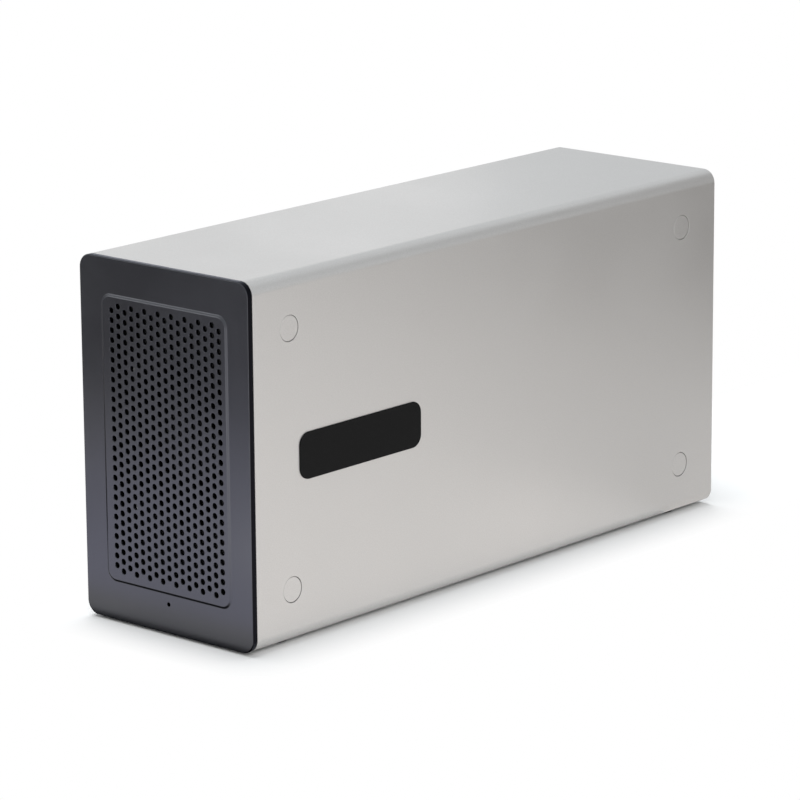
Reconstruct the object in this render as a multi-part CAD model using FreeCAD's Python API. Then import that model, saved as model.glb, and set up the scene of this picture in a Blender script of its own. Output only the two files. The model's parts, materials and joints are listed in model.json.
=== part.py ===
import FreeCAD, Part
import math
import os

# Desktop chassis for two expansion cards: a silver sleeve with a perforated front plate,
# and an inner tray with boards, slots, fan and a rear plate inside the sleeve's end, that
# slides out to the rear.
# Millimetres, +Z up, front at -Y, origin at the middle of the footprint.

# Outer sleeve and end plates
shell_width = 80.0
shell_height = 130.0
body_depth = 258.0
corner_radius = 5.0
shell_wall = 1.6
sleeve_end_chamfer = 0.3
front_plate_thickness = 2.0
plate_edge_round = 0.8
rear_plate_thickness = 2.0
rear_plate_recess = 0.6
rear_plate_fit = 0.35
rear_plate_round = 0.5
foot_height = 1.0
foot_radius = 6.0
foot_inset_x = 11.0
foot_inset_y = 20.0

# Raised perforated panel in the front plate
panel_side_margin = 9.85
panel_end_margin = 13.15
panel_shift_x = 0.4
panel_shift_z = 0.7
panel_radius = 4.5
panel_rise = 0.5
panel_bevel_angle = 21.0
perforation_diameter = 2.1
perforation_pitch_x = 3.19
perforation_pitch_z = 3.516
perforation_side_margin = 4.0
perforation_end_margin = 3.7
perforation_shift_x = 0.7
perforation_shift_z = 0.25
indicator_hole_diameter = 1.6

# Badge and rivets on the sides
badge_length = 63.0
badge_height = 16.7
badge_radius = 4.5
badge_thickness = 0.4
badge_from_front = 24.5
rivet_head_diameter = 9.0
rivet_seat_depth = 0.8
rivet_seat_gap = 0.15
rivet_sink = 0.1
rivet_rim_round = 0.15
rivet_shank_diameter = 4.0
rivet_tail_diameter = 6.0
rivet_tail_height = 0.8
rivet_inset_y = 20.3
rivet_inset_z = 18.9

# Inner brackets that carry the end plates
bracket_thickness = 1.2
bracket_margin = 8.0
bracket_end_gap = 0.3
tab_reach = 8.6
tab_edge = 0.2
front_tab_gap = 0.4
tab_height = 16.0
stud_diameter = 3.0
stud_depth_in_plate = 1.0
stud_spacing = 70.0
stud_end = 1.5
nut_across_flats = 5.5
nut_height = 2.4

# Captive thumbscrews at the rear
thumb_reach = 3.5
thumb_drop = 24.0
thumb_head_diameter = 7.2
thumb_shank_diameter = 3.44
thumb_bore_clearance = 0.08
thumb_head_gap = 0.3
thumb_grooves = 20
thumb_groove_depth = 0.4
thumb_slot_width = 1.2
thumb_slot_depth = 1.2
ferrule_diameter = 6.6
ferrule_neck_diameter = 5.2
ferrule_height = 1.2
insert_flange_diameter = 6.0
insert_neck_diameter = 4.6
insert_flange_height = 1.4

# Sliding tray, bulkheads and fasteners
sheet_thickness = 1.0
bend_radius = 1.5
tray_side_gap = 2.4
tray_lip_height = 7.0
glide_thickness = 0.5
glide_width = 10.0
glide_inset = 14.0
glide_end_inset = 15.0
tray_end_gap = 0.3
slide_clearance = 0.4
bulkhead_thickness = 1.2
bulkhead_side_gap = 1.7
bulkhead_head_gap = 4.0
bulkhead_gap = 3.0
flange_length = 12.0
screw_diameter = 3.0
screw_head_diameter = 5.6
screw_head_height = 1.8
screw_clearance = 0.1
screw_tip_gap = 1.0
tray_screw_spacing = 40.0
pan_screw_spacing = 20.0

# Boards
standoff_height = 4.0
standoff_diameter = 6.0
board_thickness = 1.6
board_lip_gap = 0.5
board_front_gap = 1.0
board_rear_gap = 1.2
board_hole_inset = 5.0
io_board_length = 95.0
io_board_height = 50.0
io_board_inset = 1.5
io_board_lift = 4.0
io_connector_length = 50.0
io_connector_wall = 1.5
io_connector_height = 7.0
io_connector_rear_gap = 40.0
groove_clearance = 0.05

# Card slots, their rear brackets and the recess around them
slot_pitch = 20.32
bracket_width = 18.42
bracket_sheet = 0.9
bracket_side_gap = 0.9
bracket_tab_length = 11.43
bracket_tongue_width = 10.2
bracket_rib_width = 9.0
bracket_rib_height = 0.6
bracket_rib_end_gap = 6.0
bracket_rib_round = 4.4
pan_depth = 13.2
ledge_drop = 7.7
ledge_end_gap = 0.4
slot_window_width = 13.0
slot_window_margin = 8.0
recess_floor_drop = 3.0
card_offset = 5.6
connector_length = 89.0
connector_width = 7.5
connector_height = 11.25
connector_from_bracket = 46.0
connector_end_wall = 2.5
key_from_rear = 14.5
key_width = 1.9
groove_width = 1.8
groove_depth = 8.5
latch_width = 3.6
latch_ear_gap = 0.3
latch_ear_thickness = 1.5
latch_ear_length = 7.0
latch_ear_height = 7.0
latch_pivot_forward = 4.0
latch_pivot_height = 4.0
latch_pin_radius = 0.8
latch_pin_clearance = 0.07
latch_boss_radius = 2.4
latch_stem_thickness = 3.0
latch_height = 15.0
latch_hook_reach = 6.0
latch_hook_height = 2.0
latch_thumb_reach = 7.0
latch_thumb_height = 8.0
latch_thumb_thickness = 2.0
latch_tip_round = 0.5
ear_width = 6.0
ear_height = 10.0
ear_low_rise = 18.0
ear_high_rise = 4.0

# Rear ports, vents and lock slot
port_recess = 0.5
port_clearance = 0.3
port_wall = 0.35
host_port_width = 8.94
host_port_height = 3.3
host_port_depth = 8.0
host_port_1_rise = 13.0
host_port_2_rise = 26.0
video_port_width = 16.4
video_port_height = 6.0
video_port_depth = 16.0
video_port_rise = 41.0
port_round = 0.8
port_floor = 1.6
port_tongue_side_gap = 1.3
port_tongue_end_gap = 1.5
port_tongue_thickness = 0.7
jack_width = 9.0
jack_height = 11.0
jack_depth = 14.0
jack_bore_diameter = 5.6
jack_bore_depth = 9.5
jack_pin_diameter = 2.1
jack_pin_end_gap = 1.0
jack_gap = 1.0
jack_cutout_round = 0.3
vent_diameter = 3.2
vent_pitch = 4.5
vent_side_gap = 4.0
vent_floor_rise = 12.0
vent_head_gap = 13.0
lock_slot_length = 7.0
lock_slot_width = 3.0
lock_slot_gap = 1.0
lock_slot_rise = 37.0
lock_slot_round = 1.2

# Parts on the boards
chip_size = 10.7
chip_height = 1.0
heatsink_size = 40.0
heatsink_base = 2.5
heatsink_fin_height = 7.5
heatsink_fins = 9
heatsink_fin_thickness = 1.2
heatsink_from_ports = 26.0
heatsink_rise = 24.5
heatsink_pin_diameter = 3.0
heatsink_pin_head = 5.0
heatsink_pin_inset = 3.5
capacitor_diameter = 8.0
capacitor_height = 10.0
capacitor_count = 4
capacitor_pitch = 11.0
capacitor_crimp = 0.5
inductor_size = 10.0
inductor_height = 5.0
inductor_count = 3
inductor_pitch = 14.0
inductor_chamfer = 1.0
regulator_length = 6.0
regulator_width = 5.0
regulator_height = 0.9
power_row_gap = 3.0
power_row_from_front = 55.0
fan_header_length = 10.0
fan_header_width = 5.7
fan_header_height = 8.0
fan_header_wall = 0.8
fan_header_from_front = 36.0
indicator_axis_height = 1.8
indicator_length = 2.5
indicator_width = 3.0
indicator_setback = 0.5
light_pipe_diameter = 2.4
light_pipe_flange_diameter = 4.5
light_pipe_tip_gap = 0.3

# Fan
fan_size = 60.0
fan_depth = 25.0
fan_hole_inset = 5.0
fan_hole_diameter = 4.3
fan_duct_wall = 1.5
fan_corner_radius = 4.0
fan_flange_thickness = 4.0
fan_strut_width = 3.5
fan_strut_depth = 3.0
fan_strut_count = 4
fan_hub_diameter = 25.0
fan_hub_wall = 1.5
fan_hub_gap = 0.8
fan_tip_gap = 0.7
fan_blade_count = 7
fan_blade_thickness = 1.4
fan_blade_depth = 14.0
fan_blade_root_pitch = 50.0
fan_blade_tip_pitch = 32.0
fan_blade_sweep = 14.0
fan_shaft_diameter = 3.0
fan_shaft_clearance = 0.05
fan_bearing_diameter = 7.0
fan_stator_diameter = 19.0
fan_stator_depth = 8.0
fan_stator_gap = 1.5
fan_guard_gap = 1.5

# Planes that the pieces share
y_front = panel_rise - (body_depth + panel_rise + thumb_reach) / 2
y_rear = y_front + body_depth
y_sleeve_front = y_front + front_plate_thickness
y_plate_rear = y_rear - rear_plate_recess
y_plate = y_plate_rear - rear_plate_thickness
z_bottom = foot_height
z_top = z_bottom + shell_height
z_middle = (z_bottom + z_top) / 2
z_inside_floor = z_bottom + shell_wall
z_inside_top = z_top - shell_wall
x_inside = shell_width / 2 - shell_wall
x_bracket = x_inside - bracket_thickness
x_tab = x_inside - tab_reach
panel_width = shell_width - 2 * panel_side_margin
panel_height = shell_height - 2 * panel_end_margin
panel_reach = panel_width / 2 + panel_shift_x
tray_half_width = x_inside - tray_side_gap
bulkhead_half_width = x_bracket - bulkhead_side_gap
glide_offset_x = tray_half_width - glide_inset

z_tray = z_inside_floor + glide_thickness
z_floor = z_tray + sheet_thickness
z_board = z_floor + standoff_height
z_board_top = z_board + board_thickness
z_indicator = z_board_top + indicator_axis_height
z_ledge = z_inside_top - ledge_drop
z_thumb = z_top - thumb_drop
x_thumb = x_tab + insert_flange_diameter / 2 + tab_edge

y_stud_end = y_sleeve_front + bracket_thickness + nut_height + stud_end
y_bulkhead = y_stud_end + bulkhead_gap
y_fan = y_bulkhead + bulkhead_thickness
y_board_front = y_fan + board_front_gap
y_tray_rear = y_plate - tray_end_gap
y_pan = y_plate - pan_depth
y_bracket = y_pan - bracket_sheet
y_cover_screw = y_bracket + bracket_tab_length / 2 + bracket_sheet
y_board_rear = y_bracket - board_rear_gap
y_board_edge = y_plate - board_rear_gap
x_board = tray_half_width - sheet_thickness - board_lip_gap

x_pan_right = x_tab - slide_clearance
x_recess_right = x_pan_right - sheet_thickness
x_card_2 = x_recess_right - bracket_side_gap - bracket_width / 2
x_card_1 = x_card_2 - slot_pitch
x_recess_left = x_card_1 - bracket_width / 2 - bracket_side_gap
x_pan_left = x_recess_left - sheet_thickness

x_io_outer = io_board_inset - x_board
x_io = x_io_outer + board_thickness
z_io = z_board_top + io_board_lift
y_port_mouth = y_plate_rear - port_recess
x_jack = x_pan_left - jack_gap - jack_width / 2
y_heatsink_rear = y_plate - heatsink_from_ports
z_heatsink = z_io + heatsink_rise
y_connector_rear = y_bracket - connector_from_bracket
y_connector_front = y_connector_rear - connector_length
y_latch = y_connector_front - latch_pivot_forward
z_latch = z_board_top + latch_pivot_height

fan_duct_radius = fan_size / 2 - fan_duct_wall
fan_hub_radius = fan_hub_diameter / 2
y_fan_rear = y_fan + fan_depth
y_hub_plate = y_fan_rear - fan_strut_depth
y_hub_front = y_fan + fan_guard_gap
y_hub_rear = y_hub_plate - fan_hub_gap
y_stator_rear = y_hub_plate - fan_stator_gap

AXES = {"x": FreeCAD.Vector(1, 0, 0), "y": FreeCAD.Vector(0, 1, 0), "z": FreeCAD.Vector(0, 0, 1)}
overcut = 1.0
touching = 0.001


def block(x0, x1, y0, y1, z0, z1):
    return Part.makeBox(x1 - x0, y1 - y0, z1 - z0, FreeCAD.Vector(x0, y0, z0))


def rod(axis, radius, start, end, u, v):
    """Cylinder along an axis from start to end; u and v are its other two coordinates in order."""
    place = {"x": (start, u, v), "y": (u, start, v), "z": (u, v, start)}[axis]
    return Part.makeCylinder(radius, end - start, FreeCAD.Vector(*place), AXES[axis])


def tube(axis, outer, inner, start, end, u, v):
    return rod(axis, outer, start, end, u, v).cut(
        rod(axis, inner, start - overcut, end + overcut, u, v)
    )


def edges_along(solid, axis, chosen):
    """Straight edges along an axis whose middle passes the test."""
    found = []
    for edge in solid.Edges:
        line = edge.Vertexes[-1].Point - edge.Vertexes[0].Point
        if line.Length > 0 and abs(line.normalize().dot(AXES[axis])) > 1 - touching:
            if chosen(edge.CenterOfMass):
                found.append(edge)
    return found


def round_edges(solid, axis, radius, chosen=lambda point: True):
    return solid.makeFillet(radius, edges_along(solid, axis, chosen))


def rounded_wire(width, height, radius, y):
    """Rounded rectangle in the plane at y, about the middle of the body's height."""
    solid = block(-width / 2, width / 2, y, y + overcut, z_middle - height / 2, z_middle + height / 2)
    face = min(round_edges(solid, "y", radius).Faces, key=lambda each: each.CenterOfMass.y)
    return face.OuterWire


def rounded_slab(width, height, radius, y0, y1):
    solid = block(-width / 2, width / 2, y0, y1, z_middle - height / 2, z_middle + height / 2)
    return round_edges(solid, "y", radius)


def end_edges(solid, y):
    """Edges that lie wholly in the plane at y."""
    return [
        edge
        for edge in solid.Edges
        if abs(edge.BoundBox.YMin - y) < touching and abs(edge.BoundBox.YMax - y) < touching
    ]


def fuse_all(solids):
    return solids[0].multiFuse(solids[1:]).removeSplitter()


def cut_all(solid, tools):
    return solid.cut(Part.makeCompound(tools))


def hexagon(across_flats, y0, y1, x, z):
    """Hexagonal prism along Y with two flats facing the sides."""
    radius = across_flats / math.sqrt(3)
    corners = []
    for step in range(7):
        angle = math.radians(30 + 60 * step)
        corners.append(FreeCAD.Vector(x + radius * math.cos(angle), y0, z + radius * math.sin(angle)))
    return Part.Face(Part.makePolygon(corners)).extrude(FreeCAD.Vector(0, y1 - y0, 0))


def pan_screw(axis, start, end, head_end, u, v):
    """Shank from start to end, with a domed head from the shank's end to head_end."""
    shank = rod(axis, screw_diameter / 2, min(start, end), max(start, end), u, v)
    head = rod(axis, screw_head_diameter / 2, min(end, head_end), max(end, head_end), u, v)
    rim = [edge for edge in head.Edges if abs(edge.CenterOfMass.dot(AXES[axis]) - head_end) < touching]
    head = head.makeFillet(screw_head_height / 2, rim)
    return fuse_all([shank, head])


def save(name, *solids):
    shape = solids[0] if len(solids) == 1 else Part.makeCompound(list(solids))
    if len(shape.Solids) == 1:
        shape = shape.Solids[0]
    shape.exportStep("parts/" + name + ".step")


def rivet_places():
    for y in (y_front + rivet_inset_y, y_rear - rivet_inset_y):
        for z in (z_bottom + rivet_inset_z, z_top - rivet_inset_z):
            yield y, z


def outer_shell():
    outer = rounded_slab(shell_width, shell_height, corner_radius, y_sleeve_front, y_rear)
    rims = end_edges(outer, y_sleeve_front) + end_edges(outer, y_rear)
    outer = outer.makeChamfer(sleeve_end_chamfer, rims)
    inner = rounded_slab(
        shell_width - 2 * shell_wall,
        shell_height - 2 * shell_wall,
        corner_radius - shell_wall,
        y_sleeve_front - overcut,
        y_rear + overcut,
    )
    seat_radius = rivet_head_diameter / 2 + rivet_seat_gap
    x_seat = shell_width / 2 - rivet_seat_depth
    holes = []
    for y, z in rivet_places():
        holes.append(rod("x", rivet_shank_diameter / 2, -shell_width, shell_width, y, z))
        holes.append(rod("x", seat_radius, x_seat, shell_width, y, z))
        holes.append(rod("x", seat_radius, -shell_width, -x_seat, y, z))
    return cut_all(outer.cut(inner), holes)


def pressed_panel(y, shrink):
    """Rounded rectangle with bevelled sides that rises towards the front."""
    base = rounded_wire(panel_width - 2 * shrink, panel_height - 2 * shrink, panel_radius - shrink, y)
    bevel = panel_rise / math.tan(math.radians(panel_bevel_angle))
    top = rounded_wire(
        panel_width - 2 * shrink - 2 * bevel,
        panel_height - 2 * shrink - 2 * bevel,
        panel_radius - shrink - bevel,
        y - panel_rise,
    )
    panel = Part.makeLoft([base, top], True, True)
    panel.translate(FreeCAD.Vector(panel_shift_x, 0, panel_shift_z))
    return panel


def perforation_places():
    """Staggered columns; every second column starts half a pitch higher and has one hole less."""
    columns = int((panel_width - 2 * perforation_side_margin) / perforation_pitch_x) + 1
    rows = int((panel_height - 2 * perforation_end_margin) / perforation_pitch_z) + 1
    x_grid = panel_shift_x + perforation_shift_x
    z_grid = z_middle + panel_shift_z + perforation_shift_z
    for column in range(columns):
        x = x_grid + (column - (columns - 1) / 2) * perforation_pitch_x
        count = rows - 1 if column % 2 == 0 else rows
        for row in range(count):
            yield x, z_grid + (row - (count - 1) / 2) * perforation_pitch_z


def stud_places():
    x = (panel_reach + x_bracket) / 2
    for side in (-1, 1):
        for end in (-1, 1):
            yield side * x, z_middle + end * stud_spacing / 2


def front_plate():
    plate = rounded_slab(shell_width, shell_height, corner_radius, y_front, y_sleeve_front)
    plate = plate.makeFillet(plate_edge_round, end_edges(plate, y_front))
    fold_shift = front_plate_thickness * math.tan(math.radians(panel_bevel_angle / 2))
    plate = plate.fuse(pressed_panel(y_front, 0)).removeSplitter()
    plate = plate.cut(pressed_panel(y_sleeve_front, fold_shift))
    tools = [
        rod("y", perforation_diameter / 2, y_front - panel_rise - overcut, y_sleeve_front, x, z)
        for x, z in perforation_places()
    ]
    tools.append(
        rod("y", indicator_hole_diameter / 2, y_front - overcut, y_sleeve_front + overcut, 0, z_indicator)
    )
    y_stud = y_sleeve_front - stud_depth_in_plate
    for x, z in stud_places():
        tools.append(rod("y", stud_diameter / 2, y_stud, y_sleeve_front, x, z))
    return cut_all(plate, tools)


def bracket_flange(y0, y1):
    """Flat strip against the inside of the right wall, as tall as its two rivets need."""
    z0 = z_bottom + rivet_inset_z - bracket_margin
    z1 = z_top - rivet_inset_z + bracket_margin
    return block(x_bracket, x_inside, y0, y1, z0, z1)


def rivet_holes():
    return [
        rod("x", rivet_shank_diameter / 2, x_bracket - overcut, x_inside + overcut, y, z)
        for y, z in rivet_places()
    ]


def front_bracket():
    flange = bracket_flange(y_sleeve_front, y_front + rivet_inset_y + bracket_margin)
    box = flange.BoundBox
    x_inner = panel_reach + front_tab_gap
    tab = block(
        x_inner, x_inside, y_sleeve_front, y_sleeve_front + bracket_thickness, box.ZMin, box.ZMax
    )
    bent = fuse_all([flange, tab])
    bent = round_edges(
        bent, "z", bracket_thickness,
        lambda point: point.x > x_inside - touching and point.y < y_sleeve_front + touching,
    )
    holes = rivet_holes()
    for x, z in stud_places():
        holes.append(rod("y", stud_diameter / 2, y_sleeve_front - overcut, y_stud_end, x, z))
    return cut_all(bent, holes)


def rear_bracket():
    y_tab = y_plate - bracket_end_gap
    flange = bracket_flange(y_rear - rivet_inset_y - bracket_margin, y_tab)
    tab = block(
        x_tab, x_inside, y_tab - bracket_thickness, y_tab,
        z_thumb - tab_height / 2, z_thumb + tab_height / 2,
    )
    hole = rod(
        "y", insert_neck_diameter / 2, y_tab - 2 * bracket_thickness, y_tab + overcut, x_thumb, z_thumb
    )
    return cut_all(fuse_all([flange, tab]), rivet_holes() + [hole])


def mirrored(solid):
    return solid.mirror(FreeCAD.Vector(0, 0, 0), AXES["x"])


def rivet(y, z):
    """Flat head sunk just below the wall's outer face, shank and set tail inside the bracket."""
    x_seat = shell_width / 2 - rivet_seat_depth
    x_face = shell_width / 2 - rivet_sink
    head = rod("x", rivet_head_diameter / 2, x_seat, x_face, y, z)
    rim = [edge for edge in head.Edges if edge.BoundBox.XMin > x_face - rivet_rim_round]
    head = head.makeFillet(rivet_rim_round, rim)
    shank = rod("x", rivet_shank_diameter / 2, x_bracket, x_seat, y, z)
    tail = rod("x", rivet_tail_diameter / 2, x_bracket - rivet_tail_height, x_bracket, y, z)
    return fuse_all([head, shank, tail])


def side_badge():
    y0 = y_front + badge_from_front
    plate = block(
        shell_width / 2, shell_width / 2 + badge_thickness, y0, y0 + badge_length,
        z_middle - badge_height / 2, z_middle + badge_height / 2,
    )
    return round_edges(plate, "x", badge_radius)


def base_feet():
    feet = []
    for x in (foot_inset_x - shell_width / 2, shell_width / 2 - foot_inset_x):
        for y in (y_front + foot_inset_y, y_rear - foot_inset_y):
            feet.append(rod("z", foot_radius, 0, foot_height, x, y))
    return feet


def front_plate_studs():
    start = y_sleeve_front - stud_depth_in_plate
    return [rod("y", stud_diameter / 2, start, y_stud_end, x, z) for x, z in stud_places()]


def front_plate_nuts():
    start = y_sleeve_front + bracket_thickness
    nuts = []
    for x, z in stud_places():
        nut = hexagon(nut_across_flats, start, start + nut_height, x, z)
        nuts.append(nut.cut(rod("y", stud_diameter / 2, start - overcut, y_stud_end, x, z)))
    return nuts


def rear_insert_nut():
    """Threaded insert in the rear bracket's tab, with its flange on the front side."""
    y_tab = y_plate - bracket_end_gap
    y_flange = y_tab - bracket_thickness
    neck = rod("y", insert_neck_diameter / 2, y_flange, y_tab, x_thumb, z_thumb)
    flange = rod(
        "y", insert_flange_diameter / 2, y_flange - insert_flange_height, y_flange, x_thumb, z_thumb
    )
    bore = rod(
        "y", thumb_shank_diameter / 2 + thumb_bore_clearance,
        y_flange - insert_flange_height - overcut, y_tab + overcut, x_thumb, z_thumb,
    )
    return fuse_all([neck, flange]).cut(bore)


def thumbscrew_ferrule():
    y_collar = y_plate_rear + ferrule_height
    neck = rod("y", ferrule_neck_diameter / 2, y_plate, y_plate_rear, x_thumb, z_thumb)
    collar = rod("y", ferrule_diameter / 2, y_plate_rear, y_collar, x_thumb, z_thumb)
    bore = rod(
        "y", thumb_shank_diameter / 2 + thumb_bore_clearance,
        y_plate - overcut, y_plate_rear + ferrule_height + overcut, x_thumb, z_thumb,
    )
    return fuse_all([neck, collar]).cut(bore)


def thumbscrew():
    y_head = y_plate_rear + ferrule_height + thumb_head_gap
    y_end = y_rear + thumb_reach
    y_tip = y_plate - bracket_end_gap - bracket_thickness - insert_flange_height
    radius = thumb_head_diameter / 2
    head = rod("y", radius, y_head, y_end, x_thumb, z_thumb)
    head = head.makeChamfer(thumb_groove_depth, end_edges(head, y_end) + end_edges(head, y_head))
    shank = rod("y", thumb_shank_diameter / 2, y_tip, y_head, x_thumb, z_thumb)
    tools = [
        block(
            x_thumb - radius, x_thumb + radius, y_end - thumb_slot_depth, y_end + overcut,
            z_thumb - thumb_slot_width / 2, z_thumb + thumb_slot_width / 2,
        )
    ]
    for step in range(thumb_grooves):
        angle = 2 * math.pi * (step + 0.5) / thumb_grooves
        x = x_thumb + radius * math.cos(angle)
        z = z_thumb + radius * math.sin(angle)
        tools.append(rod("y", thumb_groove_depth, y_head - overcut, y_end + overcut, x, z))
    return fuse_all([cut_all(head, tools), shank])


def tray_screw_places():
    """Two screws in the fan bulkhead's flange and two in the slot pan's flange."""
    for end in (-1, 1):
        yield end * tray_screw_spacing / 2, y_bulkhead + flange_length / 2, bulkhead_thickness
    middle = (x_pan_left + x_pan_right) / 2
    for end in (-1, 1):
        yield middle + end * pan_screw_spacing / 2, y_pan - flange_length / 2, sheet_thickness


def tray_screw_holes():
    return [
        rod("z", screw_diameter / 2, z_tray - overcut, z_floor + flange + overcut, x, y)
        for x, y, flange in tray_screw_places()
    ]


def base_tray():
    outer = block(
        -tray_half_width, tray_half_width, y_bulkhead, y_tray_rear, z_tray, z_tray + tray_lip_height
    )
    outer = round_edges(outer, "y", bend_radius, lambda point: point.z < z_floor)
    inner = block(
        sheet_thickness - tray_half_width, tray_half_width - sheet_thickness,
        y_bulkhead - overcut, y_tray_rear + overcut, z_floor, z_tray + tray_lip_height + overcut,
    )
    inside_bend = bend_radius - sheet_thickness
    inner = round_edges(inner, "y", inside_bend, lambda point: point.z < z_floor + touching)
    return cut_all(outer.cut(inner), tray_screw_holes())


def tray_glides():
    glides = []
    for x in (-glide_offset_x, glide_offset_x):
        glides.append(
            block(
                x - glide_width / 2, x + glide_width / 2,
                y_bulkhead + glide_end_inset, y_tray_rear - glide_end_inset, z_inside_floor, z_tray,
            )
        )
    return glides


def tray_screws():
    screws = []
    for x, y, flange in tray_screw_places():
        seat = z_floor + flange
        screws.append(pan_screw("z", z_tray, seat, seat + screw_head_height, x, y))
    return screws


def fan_hole_places():
    reach = fan_size / 2 - fan_hole_inset
    for x in (-reach, reach):
        for z in (z_middle - reach, z_middle + reach):
            yield x, z


def fan_bulkhead():
    """Upright sheet behind the front plate, folded back at its foot, notched to pass the rear tabs."""
    z1 = z_inside_top - bulkhead_head_gap
    wall = block(-bulkhead_half_width, bulkhead_half_width, y_bulkhead, y_fan, z_floor, z1)
    flange = block(
        sheet_thickness + bend_radius - tray_half_width, tray_half_width - sheet_thickness - bend_radius,
        y_bulkhead, y_bulkhead + flange_length, z_floor, z_floor + bulkhead_thickness,
    )
    z_notch = tab_height / 2 + slide_clearance
    tools = [rod("y", fan_duct_radius, y_bulkhead - overcut, y_fan + overcut, 0, z_middle)]
    tools.append(
        rod(
            "y", light_pipe_diameter / 2 + screw_clearance,
            y_bulkhead - overcut, y_fan + overcut, 0, z_indicator,
        )
    )
    for x, z in fan_hole_places():
        tools.append(rod("y", screw_diameter / 2, y_bulkhead - overcut, y_fan + overcut, x, z))
    for side in (-1, 1):
        x_notch = side * (x_tab - slide_clearance)
        x_far = side * (bulkhead_half_width + overcut)
        tools.append(
            block(
                min(x_notch, x_far), max(x_notch, x_far), y_bulkhead - overcut, y_fan + overcut,
                z_thumb - z_notch, z_thumb + z_notch,
            )
        )
        x_lip = side * (tray_half_width - bend_radius - slide_clearance)
        tools.append(
            block(
                min(x_lip, x_far), max(x_lip, x_far), y_bulkhead - overcut, y_fan + overcut,
                z_floor - overcut, z_tray + tray_lip_height + slide_clearance,
            )
        )
    return cut_all(fuse_all([wall, flange]), tools + tray_screw_holes())


def ear_places():
    for z in (z_board_top + ear_low_rise, z_middle + ear_high_rise):
        yield x_pan_right, x_pan_right + ear_width, z
        yield x_pan_left - ear_width, x_pan_left, z


def slot_pan():
    """Folded pan that sets the card brackets back from the rear plate, with a ledge for their tabs."""
    outer = block(x_pan_left, x_pan_right, y_pan, y_plate, z_floor, z_ledge)
    inner = block(
        x_recess_left, x_recess_right, y_pan + sheet_thickness, y_plate + overcut,
        z_floor - overcut, z_ledge - sheet_thickness,
    )
    end_trim = block(
        x_recess_left, x_recess_right, y_plate - ledge_end_gap, y_plate + overcut,
        z_ledge - 2 * sheet_thickness, z_ledge + overcut,
    )
    flange = block(
        x_pan_left, x_pan_right, y_pan - flange_length, y_pan + sheet_thickness,
        z_floor, z_floor + sheet_thickness,
    )
    pieces = [outer.cut(inner).cut(end_trim), flange]
    for x0, x1, z in ear_places():
        pieces.append(
            block(
                x0, x1, y_plate - sheet_thickness, y_plate,
                z - ear_height / 2, z + ear_height / 2,
            )
        )
    tools = tray_screw_holes()
    for x in (x_card_1, x_card_2):
        tools.append(
            block(
                x - slot_window_width / 2, x + slot_window_width / 2, y_pan - overcut,
                y_pan + sheet_thickness + overcut,
                z_board_top + slot_window_margin, z_ledge - slot_window_margin,
            )
        )
        z0 = z_ledge - 2 * sheet_thickness
        tools.append(rod("z", screw_diameter / 2, z0, z_ledge + overcut, x, y_cover_screw))
    for x0, x1, z in ear_places():
        y0 = y_plate - 2 * sheet_thickness
        tools.append(rod("y", screw_diameter / 2, y0, y_plate + overcut, (x0 + x1) / 2, z))
    return cut_all(fuse_all(pieces), tools)


def slot_cover(x):
    """Blank bracket: strip inside the pan's wall, tongue at its foot, tab over the ledge."""
    z_strip = z_board_top + recess_floor_drop
    half = bracket_width / 2
    strip = block(x - half, x + half, y_bracket, y_pan, z_strip, z_ledge + bracket_sheet)
    tongue = block(
        x - bracket_tongue_width / 2, x + bracket_tongue_width / 2, y_bracket, y_pan,
        z_floor + sheet_thickness + slide_clearance, z_strip,
    )
    tab = block(
        x - half, x + half, y_bracket, y_bracket + bracket_tab_length, z_ledge, z_ledge + bracket_sheet
    )
    rib = block(
        x - bracket_rib_width / 2, x + bracket_rib_width / 2, y_pan, y_pan + bracket_rib_height,
        z_board_top + slot_window_margin + bracket_rib_end_gap,
        z_ledge - slot_window_margin - bracket_rib_end_gap,
    )
    rib = round_edges(rib, "y", bracket_rib_round)
    cover = fuse_all([strip, tongue, tab, rib])
    radius = screw_diameter / 2 + slide_clearance
    notch = [
        rod("z", radius, z_ledge - overcut, z_ledge + bracket_sheet + overcut, x, y_cover_screw),
        block(
            x, x + half + overcut, y_cover_screw - radius, y_cover_screw + radius,
            z_ledge - overcut, z_ledge + bracket_sheet + overcut,
        ),
    ]
    return cut_all(cover, notch)


def slot_cover_screws():
    seat = z_ledge + bracket_sheet
    foot = z_ledge - sheet_thickness
    return [
        pan_screw("z", foot, seat, seat + screw_head_height, x, y_cover_screw)
        for x in (x_card_1, x_card_2)
    ]


def port_cutout(x0, x1, z0, z1, radius):
    opening = block(
        x0 - port_clearance, x1 + port_clearance, y_plate - overcut, y_plate_rear + overcut,
        z0 - port_clearance, z1 + port_clearance,
    )
    return round_edges(opening, "y", radius)


def port_boxes():
    """Outer sizes of the three ports on the upright board: x0, x1, z0, z1, depth."""
    ports = (
        (host_port_1_rise, host_port_width, host_port_height, host_port_depth),
        (host_port_2_rise, host_port_width, host_port_height, host_port_depth),
        (video_port_rise, video_port_width, video_port_height, video_port_depth),
    )
    for rise, width, height, depth in ports:
        z = z_io + rise
        yield x_io, x_io + height, z - width / 2, z + width / 2, depth


def vent_places():
    """Rows between the left bracket's tab and the slot pan, in the upper half."""
    x0 = slide_clearance + vent_diameter / 2 - x_tab
    columns = int((x_pan_left - vent_side_gap - x0) / vent_pitch) + 1
    rows = int((z_top - vent_head_gap - z_middle - vent_floor_rise) / vent_pitch) + 1
    for column in range(columns):
        for row in range(rows):
            yield x0 + column * vent_pitch, z_middle + vent_floor_rise + row * vent_pitch


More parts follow.
